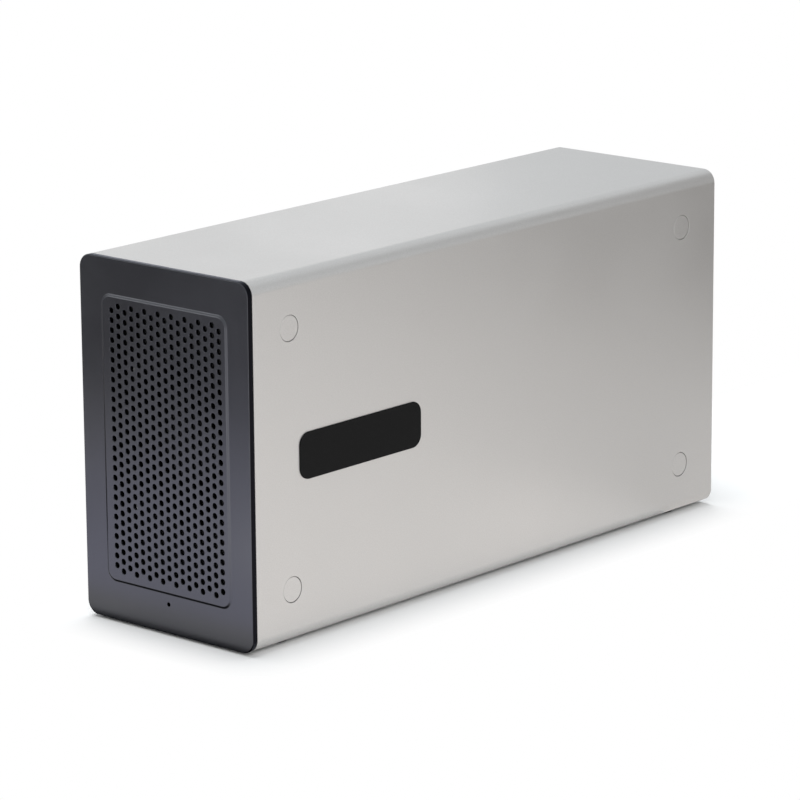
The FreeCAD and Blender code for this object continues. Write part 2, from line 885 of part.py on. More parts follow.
def rear_plate():
    """Plate inside the sleeve's end, with openings for the slots, ports, vents and a lock."""
    inset = shell_wall + rear_plate_fit
    plate = rounded_slab(
        shell_width - 2 * inset, shell_height - 2 * inset, corner_radius - inset, y_plate, y_plate_rear
    )
    plate = plate.makeFillet(rear_plate_round, end_edges(plate, y_plate_rear))
    through = (y_plate - overcut, y_plate_rear + overcut)
    tools = [
        block(
            x_recess_left, x_recess_right, through[0], through[1],
            z_board_top - recess_floor_drop, z_ledge - sheet_thickness,
        )
    ]
    for x0, x1, z0, z1, depth in port_boxes():
        tools.append(port_cutout(x0, x1, z0, z1, port_round))
    tools.append(
        port_cutout(
            x_jack - jack_width / 2, x_jack + jack_width / 2, z_board_top, z_board_top + jack_height,
            jack_cutout_round,
        )
    )
    for x, z in vent_places():
        tools.append(rod("y", vent_diameter / 2, through[0], through[1], x, z))
    for x0, x1, z in ear_places():
        tools.append(rod("y", screw_diameter / 2, through[0], through[1], (x0 + x1) / 2, z))
    for x in (-x_thumb, x_thumb):
        tools.append(rod("y", ferrule_neck_diameter / 2, through[0], through[1], x, z_thumb))
    x_lock = x_pan_left - lock_slot_gap
    z_lock = z_board_top + lock_slot_rise
    lock = block(
        x_lock - lock_slot_width, x_lock, through[0], through[1],
        z_lock - lock_slot_length / 2, z_lock + lock_slot_length / 2,
    )
    tools.append(round_edges(lock, "y", lock_slot_round))
    return cut_all(plate, tools)


def rear_plate_screws():
    start = y_plate - sheet_thickness
    return [
        pan_screw("y", start, y_plate_rear, y_plate_rear + screw_head_height, (x0 + x1) / 2, z)
        for x0, x1, z in ear_places()
    ]


def board_hole_places():
    x = x_board - board_hole_inset
    rows = (
        y_bulkhead + flange_length + standoff_diameter,
        y_connector_front - latch_ear_length - standoff_diameter,
        y_pan - flange_length - standoff_diameter,
    )
    for y in rows:
        yield -x, y
        yield x, y


def carrier_board():
    """Board with a tongue on the left that reaches back to the rear plate."""
    main = block(-x_board, x_board, y_board_front, y_board_rear, z_board, z_board_top)
    tongue = block(
        -x_board, x_pan_left - slide_clearance, y_board_rear - overcut, y_board_edge, z_board, z_board_top
    )
    board = fuse_all([main, tongue])
    radius = screw_diameter / 2 + screw_clearance
    holes = [
        rod("z", radius, z_board - overcut, z_board_top + overcut, x, y)
        for x, y in board_hole_places()
    ]
    return cut_all(board, holes)


def board_standoffs():
    standoffs = []
    for x, y in board_hole_places():
        standoffs.append(tube("z", standoff_diameter / 2, screw_diameter / 2, z_floor, z_board, x, y))
    return standoffs


def board_screws():
    return [
        pan_screw("z", z_floor + screw_tip_gap, z_board_top, z_board_top + screw_head_height, x, y)
        for x, y in board_hole_places()
    ]


def card_slot(x_card):
    """Edge connector with a keyed groove and two ears that carry the end latch."""
    x = x_card + card_offset
    half = connector_width / 2
    z1 = z_board_top + connector_height
    body = block(x - half, x + half, y_connector_front, y_connector_rear, z_board_top, z1)
    pieces = [body]
    for side in (-1, 1):
        near = x + side * (latch_width / 2 + latch_ear_gap)
        far = near + side * latch_ear_thickness
        ear = block(
            min(near, far), max(near, far),
            y_connector_front - latch_ear_length, y_connector_front + overcut,
            z_board_top, z_board_top + latch_ear_height,
        )
        pieces.append(ear)
    y_key = y_connector_rear - key_from_rear
    z_groove = z1 - groove_depth
    tools = []
    stretches = (
        (y_connector_front + connector_end_wall, y_key - key_width / 2),
        (y_key + key_width / 2, y_connector_rear - connector_end_wall),
    )
    for y0, y1 in stretches:
        tools.append(block(x - groove_width / 2, x + groove_width / 2, y0, y1, z_groove, z1 + overcut))
    pin_hole = latch_pin_radius + latch_pin_clearance
    tools.append(rod("x", pin_hole, x - connector_width, x + connector_width, y_latch, z_latch))
    return cut_all(fuse_all(pieces), tools)


def slot_latch(x_card):
    """Lever on a cross pin, with a hook over the slot's end and a thumb pad towards the front."""
    x = x_card + card_offset
    half = latch_width / 2
    z1 = z_board_top + latch_height
    boss = rod("x", latch_boss_radius, x - half, x + half, y_latch, z_latch)
    y_stem = y_latch - latch_stem_thickness / 2
    stem = block(x - half, x + half, y_stem, y_stem + latch_stem_thickness, z_latch, z1)
    hook = block(x - half, x + half, y_stem, y_latch + latch_hook_reach, z1 - latch_hook_height, z1)
    thumb = block(
        x - half, x + half, y_latch - latch_thumb_reach, y_latch,
        z_board_top + latch_thumb_height, z_board_top + latch_thumb_height + latch_thumb_thickness,
    )
    reach = half + latch_ear_gap + latch_ear_thickness
    pin = rod("x", latch_pin_radius, x - reach, x + reach, y_latch, z_latch)
    lever = fuse_all([boss, stem, hook, thumb])
    y_hook_tip = y_latch + latch_hook_reach - touching
    y_thumb_tip = y_latch - latch_thumb_reach + touching
    tips = edges_along(lever, "x", lambda point: point.y > y_hook_tip or point.y < y_thumb_tip)
    lever = lever.makeFillet(latch_tip_round, tips)
    return fuse_all([lever, pin])


def io_board():
    y0 = y_board_edge - io_board_length
    return block(x_io_outer, x_io, y0, y_board_edge, z_io, z_io + io_board_height)


def io_connector():
    """Socket on the carrier board that holds the upright board's lower edge."""
    y1 = y_board_edge - io_connector_rear_gap
    body = block(
        x_io_outer - io_connector_wall, x_io + io_connector_wall, y1 - io_connector_length, y1,
        z_board_top, z_board_top + io_connector_height,
    )
    groove = block(
        x_io_outer - groove_clearance, x_io + groove_clearance,
        y1 - io_connector_length - overcut, y1 + overcut,
        z_io, z_board_top + io_connector_height + overcut,
    )
    return body.cut(groove)


def socket(x0, x1, z0, z1, depth):
    """Metal port shell on the upright board, open to the rear, with a flat contact tongue."""
    y0 = y_port_mouth - depth
    shell = round_edges(block(x0, x1, y0, y_port_mouth, z0, z1), "y", port_round)
    hollow = block(
        x0 + port_wall, x1 - port_wall, y0 + port_floor, y_port_mouth + overcut,
        z0 + port_wall, z1 - port_wall,
    )
    hollow = round_edges(hollow, "y", port_round - port_wall)
    x = (x0 + x1) / 2
    tongue = block(
        x - port_tongue_thickness / 2, x + port_tongue_thickness / 2,
        y0 + port_floor / 2, y_port_mouth - port_tongue_end_gap,
        z0 + port_tongue_side_gap, z1 - port_tongue_side_gap,
    )
    return fuse_all([shell.cut(hollow), tongue])


def power_jack():
    y0 = y_port_mouth - jack_depth
    half = jack_width / 2
    body = block(x_jack - half, x_jack + half, y0, y_port_mouth, z_board_top, z_board_top + jack_height)
    z = z_board_top + jack_height / 2
    y_bore = y_port_mouth - jack_bore_depth
    bore = rod("y", jack_bore_diameter / 2, y_bore, y_port_mouth + overcut, x_jack, z)
    y_pin = y_port_mouth - jack_pin_end_gap
    pin = rod("y", jack_pin_diameter / 2, y_bore - overcut, y_pin, x_jack, z)
    return fuse_all([body.cut(bore), pin])


def controller_chip():
    y = y_heatsink_rear - heatsink_size / 2
    half = chip_size / 2
    return block(x_io, x_io + chip_height, y - half, y + half, z_heatsink - half, z_heatsink + half)


def heatsink_pin_places():
    y = y_heatsink_rear - heatsink_size / 2
    reach = heatsink_size / 2 - heatsink_pin_inset
    yield y - reach, z_heatsink + reach
    yield y + reach, z_heatsink - reach


def controller_heatsink():
    x0 = x_io + chip_height
    x1 = x0 + heatsink_base
    z0 = z_heatsink - heatsink_size / 2
    pieces = [block(x0, x1, y_heatsink_rear - heatsink_size, y_heatsink_rear, z0, z0 + heatsink_size)]
    pitch = (heatsink_size - heatsink_fin_thickness) / (heatsink_fins - 1)
    for fin in range(heatsink_fins):
        z = z0 + fin * pitch
        pieces.append(
            block(
                x1 - overcut, x1 + heatsink_fin_height, y_heatsink_rear - heatsink_size, y_heatsink_rear,
                z, z + heatsink_fin_thickness,
            )
        )
    sink = fuse_all(pieces)
    tools = []
    for y, z in heatsink_pin_places():
        tools.append(rod("x", heatsink_pin_diameter / 2, x0 - overcut, x1 + overcut, y, z))
        tools.append(
            rod("x", heatsink_pin_head / 2 + slide_clearance, x1, x1 + heatsink_fin_height + overcut, y, z)
        )
    return cut_all(sink, tools)


def heatsink_pins():
    """Spring pins from the board's face through the heatsink's base."""
    pins = []
    x1 = x_io + chip_height + heatsink_base
    for y, z in heatsink_pin_places():
        shank = rod("x", heatsink_pin_diameter / 2, x_io, x1, y, z)
        head = rod("x", heatsink_pin_head / 2, x1, x1 + heatsink_base, y, z)
        pins.append(fuse_all([shank, head]))
    return pins


def power_row(gap_from_wall):
    """Middle of a row of power parts, counted inwards from the left edge of the board."""
    return board_hole_inset * 2 - x_board + gap_from_wall


def power_row_start():
    return y_board_front + power_row_from_front


def bulk_capacitors():
    cans = []
    x = power_row(capacitor_diameter / 2)
    for step in range(capacitor_count):
        y = power_row_start() + step * capacitor_pitch
        can = rod("z", capacitor_diameter / 2, z_board_top, z_board_top + capacitor_height, x, y)
        top = [edge for edge in can.Edges if edge.BoundBox.ZMin > z_board_top + capacitor_height / 2]
        cans.append(can.makeFillet(capacitor_crimp, top))
    return cans


def power_inductors():
    coils = []
    x = power_row(capacitor_diameter + power_row_gap + inductor_size / 2)
    half = inductor_size / 2
    for step in range(inductor_count):
        y = power_row_start() + step * inductor_pitch
        coil = block(x - half, x + half, y - half, y + half, z_board_top, z_board_top + inductor_height)
        coils.append(coil.makeChamfer(inductor_chamfer, edges_along(coil, "z", lambda point: True)))
    return coils


def regulator_chips():
    """Flat chips in line with the capacitors, behind the row of inductors."""
    chips = []
    x = power_row(capacitor_diameter / 2)
    for step in range(inductor_count):
        y = power_row_start() + (step + inductor_count) * inductor_pitch
        chips.append(
            block(
                x - regulator_width / 2, x + regulator_width / 2,
                y - regulator_length / 2, y + regulator_length / 2,
                z_board_top, z_board_top + regulator_height,
            )
        )
    return chips


def fan_header():
    y0 = y_board_front + fan_header_from_front
    x0 = power_row(0)
    x1 = x0 + fan_header_width
    body = block(x0, x1, y0, y0 + fan_header_length, z_board_top, z_board_top + fan_header_height)
    hollow = block(
        x0 + fan_header_wall, x1 - fan_header_wall,
        y0 + fan_header_wall, y0 + fan_header_length - fan_header_wall,
        z_board_top + fan_header_wall, z_board_top + fan_header_height + overcut,
    )
    return body.cut(hollow)


def status_led():
    y0 = y_board_front + indicator_setback
    half = indicator_width / 2
    return block(-half, half, y0, y0 + indicator_length, z_board_top, z_indicator + indicator_axis_height)


def light_pipe():
    """Clear rod from the lamp on the board to the front plate's hole, flanged behind the bulkhead."""
    rear = y_board_front + indicator_setback
    front = y_sleeve_front + light_pipe_tip_gap
    pipe = rod("y", light_pipe_diameter / 2, front, rear, 0, z_indicator)
    flange = rod("y", light_pipe_flange_diameter / 2, y_fan, y_board_front, 0, z_indicator)
    return fuse_all([pipe, flange])


def fan_frame():
    """Two square flanges on a round duct, with struts and a bearing tube on the rear side."""
    half = fan_size / 2
    pieces = [rod("y", half, y_fan, y_fan_rear, 0, z_middle)]
    for y in (y_fan, y_fan_rear - fan_flange_thickness):
        flange = block(-half, half, y, y + fan_flange_thickness, z_middle - half, z_middle + half)
        pieces.append(round_edges(flange, "y", fan_corner_radius))
    body = fuse_all(pieces)
    body = body.cut(rod("y", fan_duct_radius, y_fan - overcut, y_fan_rear + overcut, 0, z_middle))
    holes = [
        rod("y", fan_hole_diameter / 2, y_fan - overcut, y_fan_rear + overcut, x, z)
        for x, z in fan_hole_places()
    ]
    body = cut_all(body, holes)
    carrier = [rod("y", fan_hub_radius, y_hub_plate, y_fan_rear, 0, z_middle)]
    y_bearing = y_hub_front + fan_hub_wall + fan_hub_gap
    carrier.append(rod("y", fan_bearing_diameter / 2, y_bearing, y_fan_rear, 0, z_middle))
    for step in range(fan_strut_count):
        strut = block(
            fan_hub_radius - overcut, fan_duct_radius + fan_duct_wall / 2, y_hub_plate, y_fan_rear,
            z_middle - fan_strut_width / 2, z_middle + fan_strut_width / 2,
        )
        strut.rotate(FreeCAD.Vector(0, 0, z_middle), AXES["y"], 45 + 360 * step / fan_strut_count)
        carrier.append(strut)
    body = fuse_all([body] + carrier)
    shaft_hole = fan_shaft_diameter / 2 + fan_shaft_clearance
    return body.cut(rod("y", shaft_hole, y_hub_front, y_hub_plate + fan_strut_depth / 2, 0, z_middle))


def fan_stator():
    return tube(
        "y", fan_stator_diameter / 2, fan_bearing_diameter / 2,
        y_stator_rear - fan_stator_depth, y_stator_rear, 0, z_middle,
    )


def blade_section(radius, pitch, sweep):
    """Slanted rectangle across the air flow, at one radius from the shaft."""
    half = fan_blade_depth / 2
    middle = (y_hub_front + y_hub_rear) / 2
    corners = []
    for along, across in ((-1, -1), (1, -1), (1, 1), (-1, 1)):
        slant = math.radians(pitch)
        y = along * half * math.cos(slant) - across * fan_blade_thickness / 2 * math.sin(slant)
        side = along * half * math.sin(slant) + across * fan_blade_thickness / 2 * math.cos(slant)
        corners.append(FreeCAD.Vector(side, middle + y, z_middle + radius))
    wire = Part.makePolygon(corners + corners[:1])
    wire.rotate(FreeCAD.Vector(0, 0, z_middle), AXES["y"], sweep)
    return wire


def fan_blade(turn):
    tip_radius = fan_duct_radius - fan_tip_gap
    root = blade_section(fan_hub_radius - fan_hub_wall, fan_blade_root_pitch, 0)
    tip = blade_section(fan_duct_radius + fan_tip_gap, fan_blade_tip_pitch, fan_blade_sweep)
    blade = Part.makeLoft([root, tip], True, True)
    limit = rod("y", tip_radius, y_hub_front, y_hub_rear, 0, z_middle)
    core = rod("y", fan_hub_radius - fan_hub_wall / 2, y_fan, y_fan_rear, 0, z_middle)
    blade = blade.common(limit).cut(core)
    blade.rotate(FreeCAD.Vector(0, 0, z_middle), AXES["y"], turn)
    return blade


def fan_impeller():
    """Cup-shaped hub with a shaft and swept blades."""
    hub = rod("y", fan_hub_radius, y_hub_front, y_hub_rear, 0, z_middle)
    hollow = rod(
        "y", fan_hub_radius - fan_hub_wall, y_hub_front + fan_hub_wall, y_hub_rear + overcut, 0, z_middle
    )
    shaft = rod("y", fan_shaft_diameter / 2, y_hub_front, y_hub_plate, 0, z_middle)
    pieces = [hub.cut(hollow), shaft]
    for step in range(fan_blade_count):
        pieces.append(fan_blade(360 * step / fan_blade_count))
    return fuse_all(pieces)


def fan_screws():
    """Screws from the front of the bulkhead into the fan's front flange."""
    return [
        pan_screw("y", y_fan + fan_flange_thickness, y_bulkhead, y_bulkhead - screw_head_height, x, z)
        for x, z in fan_hole_places()
    ]


os.makedirs("parts", exist_ok=True)

right_rivets = [rivet(y, z) for y, z in rivet_places()]
ports = [socket(*size) for size in port_boxes()]

save("outer_shell", outer_shell())
save("front_plate", front_plate())
save("front_bracket_right", front_bracket())
save("front_bracket_left", mirrored(front_bracket()))
save("rear_bracket_right", rear_bracket())
save("rear_bracket_left", mirrored(rear_bracket()))
save("shell_rivets_right", *right_rivets)
save("shell_rivets_left", *[mirrored(each) for each in right_rivets])
save("side_badge", side_badge())
save("base_feet", *base_feet())
save("front_plate_studs", *front_plate_studs())
save("front_plate_nuts", *front_plate_nuts())
save("rear_insert_nuts", rear_insert_nut(), mirrored(rear_insert_nut()))
save("thumbscrew_ferrules", thumbscrew_ferrule(), mirrored(thumbscrew_ferrule()))
save("thumbscrew_right", thumbscrew())
save("thumbscrew_left", mirrored(thumbscrew()))
save("base_tray", base_tray())
save("tray_glides", *tray_glides())
save("tray_screws", *tray_screws())
save("fan_bulkhead", fan_bulkhead())
save("slot_pan", slot_pan())
save("slot_cover_1", slot_cover(x_card_1))
save("slot_cover_2", slot_cover(x_card_2))
save("slot_cover_screws", *slot_cover_screws())
save("rear_plate", rear_plate())
save("rear_plate_screws", *rear_plate_screws())
save("carrier_board", carrier_board())
save("board_standoffs", *board_standoffs())
save("board_screws", *board_screws())
save("card_slot_1", card_slot(x_card_1))
save("card_slot_2", card_slot(x_card_2))
save("slot_latch_1", slot_latch(x_card_1))
save("slot_latch_2", slot_latch(x_card_2))
save("io_board", io_board())
save("io_connector", io_connector())
save("host_port_1", ports[0])
save("host_port_2", ports[1])
save("video_port", ports[2])
save("power_jack", power_jack())
save("controller_chip", controller_chip())
save("controller_heatsink", controller_heatsink())
save("heatsink_pins", *heatsink_pins())
save("bulk_capacitors", *bulk_capacitors())
save("power_inductors", *power_inductors())
save("regulator_chips", *regulator_chips())
save("fan_header", fan_header())
save("status_led", status_led())
save("light_pipe", light_pipe())
save("fan_frame", fan_frame())
save("fan_stator", fan_stator())
save("fan_screws", *fan_screws())
save("fan_impeller", fan_impeller())
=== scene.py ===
import bpy
import json
import math
from mathutils import Matrix, Vector


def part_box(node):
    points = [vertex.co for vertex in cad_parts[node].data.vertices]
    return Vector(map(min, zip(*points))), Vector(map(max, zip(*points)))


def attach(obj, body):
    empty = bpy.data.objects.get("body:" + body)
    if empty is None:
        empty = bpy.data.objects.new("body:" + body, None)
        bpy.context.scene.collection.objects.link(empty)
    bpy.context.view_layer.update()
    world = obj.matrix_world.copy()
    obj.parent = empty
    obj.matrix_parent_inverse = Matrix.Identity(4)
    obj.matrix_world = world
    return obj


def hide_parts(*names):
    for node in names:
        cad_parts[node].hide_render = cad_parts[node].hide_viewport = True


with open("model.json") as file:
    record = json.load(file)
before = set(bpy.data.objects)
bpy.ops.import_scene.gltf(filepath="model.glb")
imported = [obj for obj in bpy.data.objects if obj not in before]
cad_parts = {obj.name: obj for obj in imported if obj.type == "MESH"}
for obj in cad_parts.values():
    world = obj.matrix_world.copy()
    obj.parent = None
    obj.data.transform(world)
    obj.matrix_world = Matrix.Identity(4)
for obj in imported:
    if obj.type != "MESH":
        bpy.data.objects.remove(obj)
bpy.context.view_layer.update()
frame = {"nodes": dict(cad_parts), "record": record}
nodes = frame["nodes"]
mm = 0.001
near = 1e-6  # two heights closer than this are one
print("stage: frame loaded,", len(nodes), "nodes")


# selecting and shaping

def clearSelection():
    if bpy.context.object and bpy.context.object.mode != "OBJECT":
        bpy.ops.object.mode_set(mode="OBJECT")
    bpy.ops.object.select_all(action="DESELECT")


def activate(piece):
    clearSelection()
    piece.select_set(True)
    bpy.context.view_layer.objects.active = piece


def rename(piece, name):
    piece.name = piece.data.name = name


def settle(piece, name):  # puts the place into the mesh
    rename(piece, name)
    bpy.ops.object.transform_apply(location=True, rotation=True, scale=True)
    return piece


def addBlock(name, low, high):  # two opposite corners
    clearSelection()
    middle = [(a + b) / 2 for a, b in zip(low, high)]
    size = [abs(b - a) for a, b in zip(low, high)]
    bpy.ops.mesh.primitive_cube_add(size=1, location=middle, scale=size)
    return settle(bpy.context.object, name)


axisTurns = {"x": (0, math.pi / 2, 0), "y": (-math.pi / 2, 0, 0), "z": (0, 0, 0)}


def addRound(name, radius, start, end, axis, across, sides=48):  # across: the other two coordinates
    clearSelection()
    half = (start + end) / 2
    spots = {"x": (half, *across), "y": (across[0], half, across[1]), "z": (*across, half)}
    bpy.ops.mesh.primitive_cylinder_add(
        vertices=sides, radius=radius, depth=abs(end - start), location=spots[axis], rotation=axisTurns[axis])
    return settle(bpy.context.object, name)


def startPick(piece, kind):
    activate(piece)
    bpy.ops.object.mode_set(mode="EDIT")
    bpy.ops.mesh.select_mode(type=kind)
    bpy.ops.mesh.select_all(action="DESELECT")
    bpy.ops.object.mode_set(mode="OBJECT")


def pickFaces(piece, test):  # test gets a face's centre and normal
    startPick(piece, "FACE")
    for face in piece.data.polygons:
        face.select = bool(test(face.center, face.normal))
    bpy.ops.object.mode_set(mode="EDIT")


def pickEdges(piece, test):  # test gets an edge's two ends
    startPick(piece, "EDGE")
    points = piece.data.vertices
    for edge in piece.data.edges:
        a, b = edge.vertices
        edge.select = bool(test(points[a].co, points[b].co))
    bpy.ops.object.mode_set(mode="EDIT")


def endEdit():
    bpy.ops.object.mode_set(mode="OBJECT")


def bevelEdges(piece, width, steps, test):
    pickEdges(piece, test)
    bpy.ops.mesh.bevel(offset=width, offset_type="OFFSET", segments=steps, affect="EDGES")
    endEdit()


def alongAxis(axis):  # edges that run along one axis
    def test(a, b):
        line = b - a
        return line.length > 0 and abs(line[axis]) > 0.999 * line.length
    return test


def atLevel(axis, level):  # edges that lie in one plane across an axis
    return lambda a, b: max(abs(a[axis] - level), abs(b[axis] - level)) < near


def applyModifier(piece, kind, **settings):
    activate(piece)
    bpy.ops.object.modifier_add(type=kind)
    modifier = piece.modifiers[-1]
    for key, value in settings.items():
        setattr(modifier, key, value)
    bpy.ops.object.modifier_apply(modifier=modifier.name)


def roundRims(piece, width, steps, angle=40):  # eases the sharp edges
    applyModifier(
        piece, "BEVEL", width=width, segments=steps, limit_method="ANGLE", angle_limit=math.radians(angle),
        use_clamp_overlap=True)


def carve(piece, *cutters):  # takes the cutters' room out of a piece and uses them up
    for cutter in cutters:
        applyModifier(piece, "BOOLEAN", operation="DIFFERENCE", solver="EXACT", object=cutter)
        activate(cutter)
        bpy.ops.object.delete()


def repeat(piece, count, step):  # a row of equal copies in one mesh
    applyModifier(
        piece, "ARRAY", count=count, use_relative_offset=False, use_constant_offset=True,
        constant_offset_displace=step)
    return piece


def turned(name, spot, axis, profile, sides=32):  # a round piece: (radius, distance along the axis) in turn
    clearSelection()
    radius, height = profile[0]
    bpy.ops.mesh.primitive_circle_add(
        vertices=sides, radius=radius, fill_type="NGON", location=(0, 0, height))
    piece = bpy.context.object
    bpy.ops.object.transform_apply(location=True, rotation=True, scale=True)
    bpy.ops.object.mode_set(mode="EDIT")
    bpy.ops.mesh.select_mode(type="FACE")
    bpy.ops.mesh.select_all(action="SELECT")
    for (radiusBefore, heightBefore), (radius, height) in zip(profile, profile[1:]):
        bpy.ops.mesh.extrude_region_move(TRANSFORM_OT_translate={"value": (0, 0, height - heightBefore)})
        grow = radius / radiusBefore
        bpy.ops.transform.resize(value=(grow, grow, 1), center_override=(0, 0, height))
    bpy.ops.mesh.select_all(action="SELECT")
    bpy.ops.mesh.normals_make_consistent(inside=False)
    endEdit()
    piece.rotation_euler = axisTurns[axis]
    piece.location = spot
    return settle(piece, name)


def smoothShade(piece, angle=32):
    activate(piece)
    bpy.ops.object.shade_smooth_by_angle(angle=math.radians(angle))


def copyMoved(piece, shift, name):  # a copy with its own mesh
    activate(piece)
    bpy.ops.object.duplicate(linked=False)
    bpy.ops.transform.translate(value=shift)
    return settle(bpy.context.object, name)


def joinAll(pieces, name):
    activate(pieces[0])
    for piece in pieces:
        piece.select_set(True)
    if len(pieces) > 1:
        bpy.ops.object.join()
    rename(pieces[0], name)
    return pieces[0]


def solidBoxes(node):  # corners of each loose solid of a CAD node, read from a merged copy
    activate(nodes[node])
    bpy.ops.object.duplicate(linked=False)
    bpy.ops.object.mode_set(mode="EDIT")
    bpy.ops.mesh.select_all(action="SELECT")
    bpy.ops.mesh.remove_doubles(threshold=near)
    bpy.ops.mesh.separate(type="LOOSE")
    endEdit()
    found = []
    for part in bpy.context.selected_objects:
        spots = [vertex.co for vertex in part.data.vertices]
        low = Vector([min(spot[i] for spot in spots) for i in range(3)])
        high = Vector([max(spot[i] for spot in spots) for i in range(3)])
        found.append((low, high))
    bpy.ops.object.delete()
    return sorted(found, key=lambda corners: tuple(corners[0]))


def fitOut(piece, material, body, slotName, *stoodFor):
    applyModifier(piece, "WEIGHTED_NORMAL", keep_sharp=True, weight=60)  # flat faces stay flat
    piece.data.materials.clear()
    piece.data.materials.append(material)
    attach(piece, body)
    if stoodFor:
        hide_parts(*stoodFor)


# shared surface effects

def feed(tree, socket, value):  # a number, a colour or another node's output
    if isinstance(value, (int, float)):
        socket.default_value = value
    elif isinstance(value, tuple):
        socket.default_value = (*value, 1.0)
    else:
        tree.links.new(value, socket)


def newGroup(name, size, *outputs):
    group = bpy.data.node_groups.new(name, "ShaderNodeTree")
    group.interface.new_socket("Place", in_out="INPUT", socket_type="NodeSocketVector")
    group.interface.new_socket("Size", in_out="INPUT", socket_type="NodeSocketFloat").default_value = size
    for label in outputs:
        group.interface.new_socket(label, in_out="OUTPUT", socket_type="NodeSocketFloat")
    start, end = group.nodes.new("NodeGroupInput").outputs, group.nodes.new("NodeGroupOutput").inputs
    return group, start["Place"], start["Size"], end


def mathNode(tree, operation, first, second):
    node = tree.nodes.new("ShaderNodeMath")
    node.operation = operation
    feed(tree, node.inputs[0], first)
    feed(tree, node.inputs[1], second)
    return node.outputs[0]


def noiseNode(tree, place, scale, detail, rough=0.5):
    node = tree.nodes.new("ShaderNodeTexNoise")
    for label, value in (("Vector", place), ("Scale", scale), ("Detail", detail), ("Roughness", rough)):
        feed(tree, node.inputs[label], value)
    return node.outputs["Fac"]


def rangeNode(tree, value, low, high, newLow=0.0, newHigh=1.0):
    node = tree.nodes.new("ShaderNodeMapRange")
    for socket, number in zip(node.inputs, (value, low, high, newLow, newHigh)):
        feed(tree, socket, number)
    return node.outputs["Result"]


def splitNode(tree, vector):
    node = tree.nodes.new("ShaderNodeSeparateXYZ")
    tree.links.new(vector, node.inputs[0])
    return node.outputs


def vectorNode(tree, operation, first, second=None):
    node = tree.nodes.new("ShaderNodeVectorMath")
    node.operation = operation
    tree.links.new(first, node.inputs[0])
    if second:
        node.inputs[1].default_value = second
    return node.outputs["Value" if operation == "LENGTH" else "Vector"]


def mixColours(tree, factor, first, second):
    node = tree.nodes.new("ShaderNodeMix")
    node.data_type = "RGBA"
    for index, value in ((0, factor), (6, first), (7, second)):
        feed(tree, node.inputs[index], value)
    return node.outputs[2]


grainMix = {"size": 900.0, "finer": 3.1, "details": (2.0, 1.0), "shares": (0.6, 0.4), "spread": (0.32, 0.68)}
noiseSpread = (0.3, 0.7)  # what is stretched to the full range


def makeGrainGroup():  # fine grain of paint, blasted metal or moulded plastic
    group, place, size, end = newGroup("surfaceGrain", grainMix["size"], "Speck", "Height")
    finer = mathNode(group, "MULTIPLY", size, grainMix["finer"])
    layers = [
        mathNode(group, "MULTIPLY", noiseNode(group, place, scale, detail), share)
        for scale, detail, share in zip((size, finer), grainMix["details"], grainMix["shares"])]
    both = mathNode(group, "ADD", *layers)
    group.links.new(rangeNode(group, both, *grainMix["spread"]), end["Speck"])
    group.links.new(both, end["Height"])
    return group


def makeNoiseGroup(name, output, size, detail, rough):
    group, place, scale, end = newGroup(name, size, output)
    noise = noiseNode(group, place, scale, detail, rough)
    group.links.new(rangeNode(group, noise, *noiseSpread), end[output])
    return group


grainGroup = makeGrainGroup()
cloudGroup = makeNoiseGroup("softClouds", "Cloud", 18.0, 3.0, 0.55)  # slow change, as handling leaves it
brushGroup = makeNoiseGroup("brushLines", "Line", 1500.0, 2.0, 0.6)  # fine lines along the squeezed axis


def placeGroup(tree, group, place, size):
    node = tree.nodes.new("ShaderNodeGroup")
    node.node_tree = group
    tree.links.new(place, node.inputs["Place"])
    node.inputs["Size"].default_value = size
    return node.outputs


plainLook = {  # what a finish has unless it says otherwise
    "cloudSize": 18.0, "brushSize": 1500.0, "castShare": 0.3, "metallic": 0.0, "specular": 0.5,
    "shine": (1.0, 1.0, 1.0), "bumpDistance": 0.05 * mm, "index": 1.49}


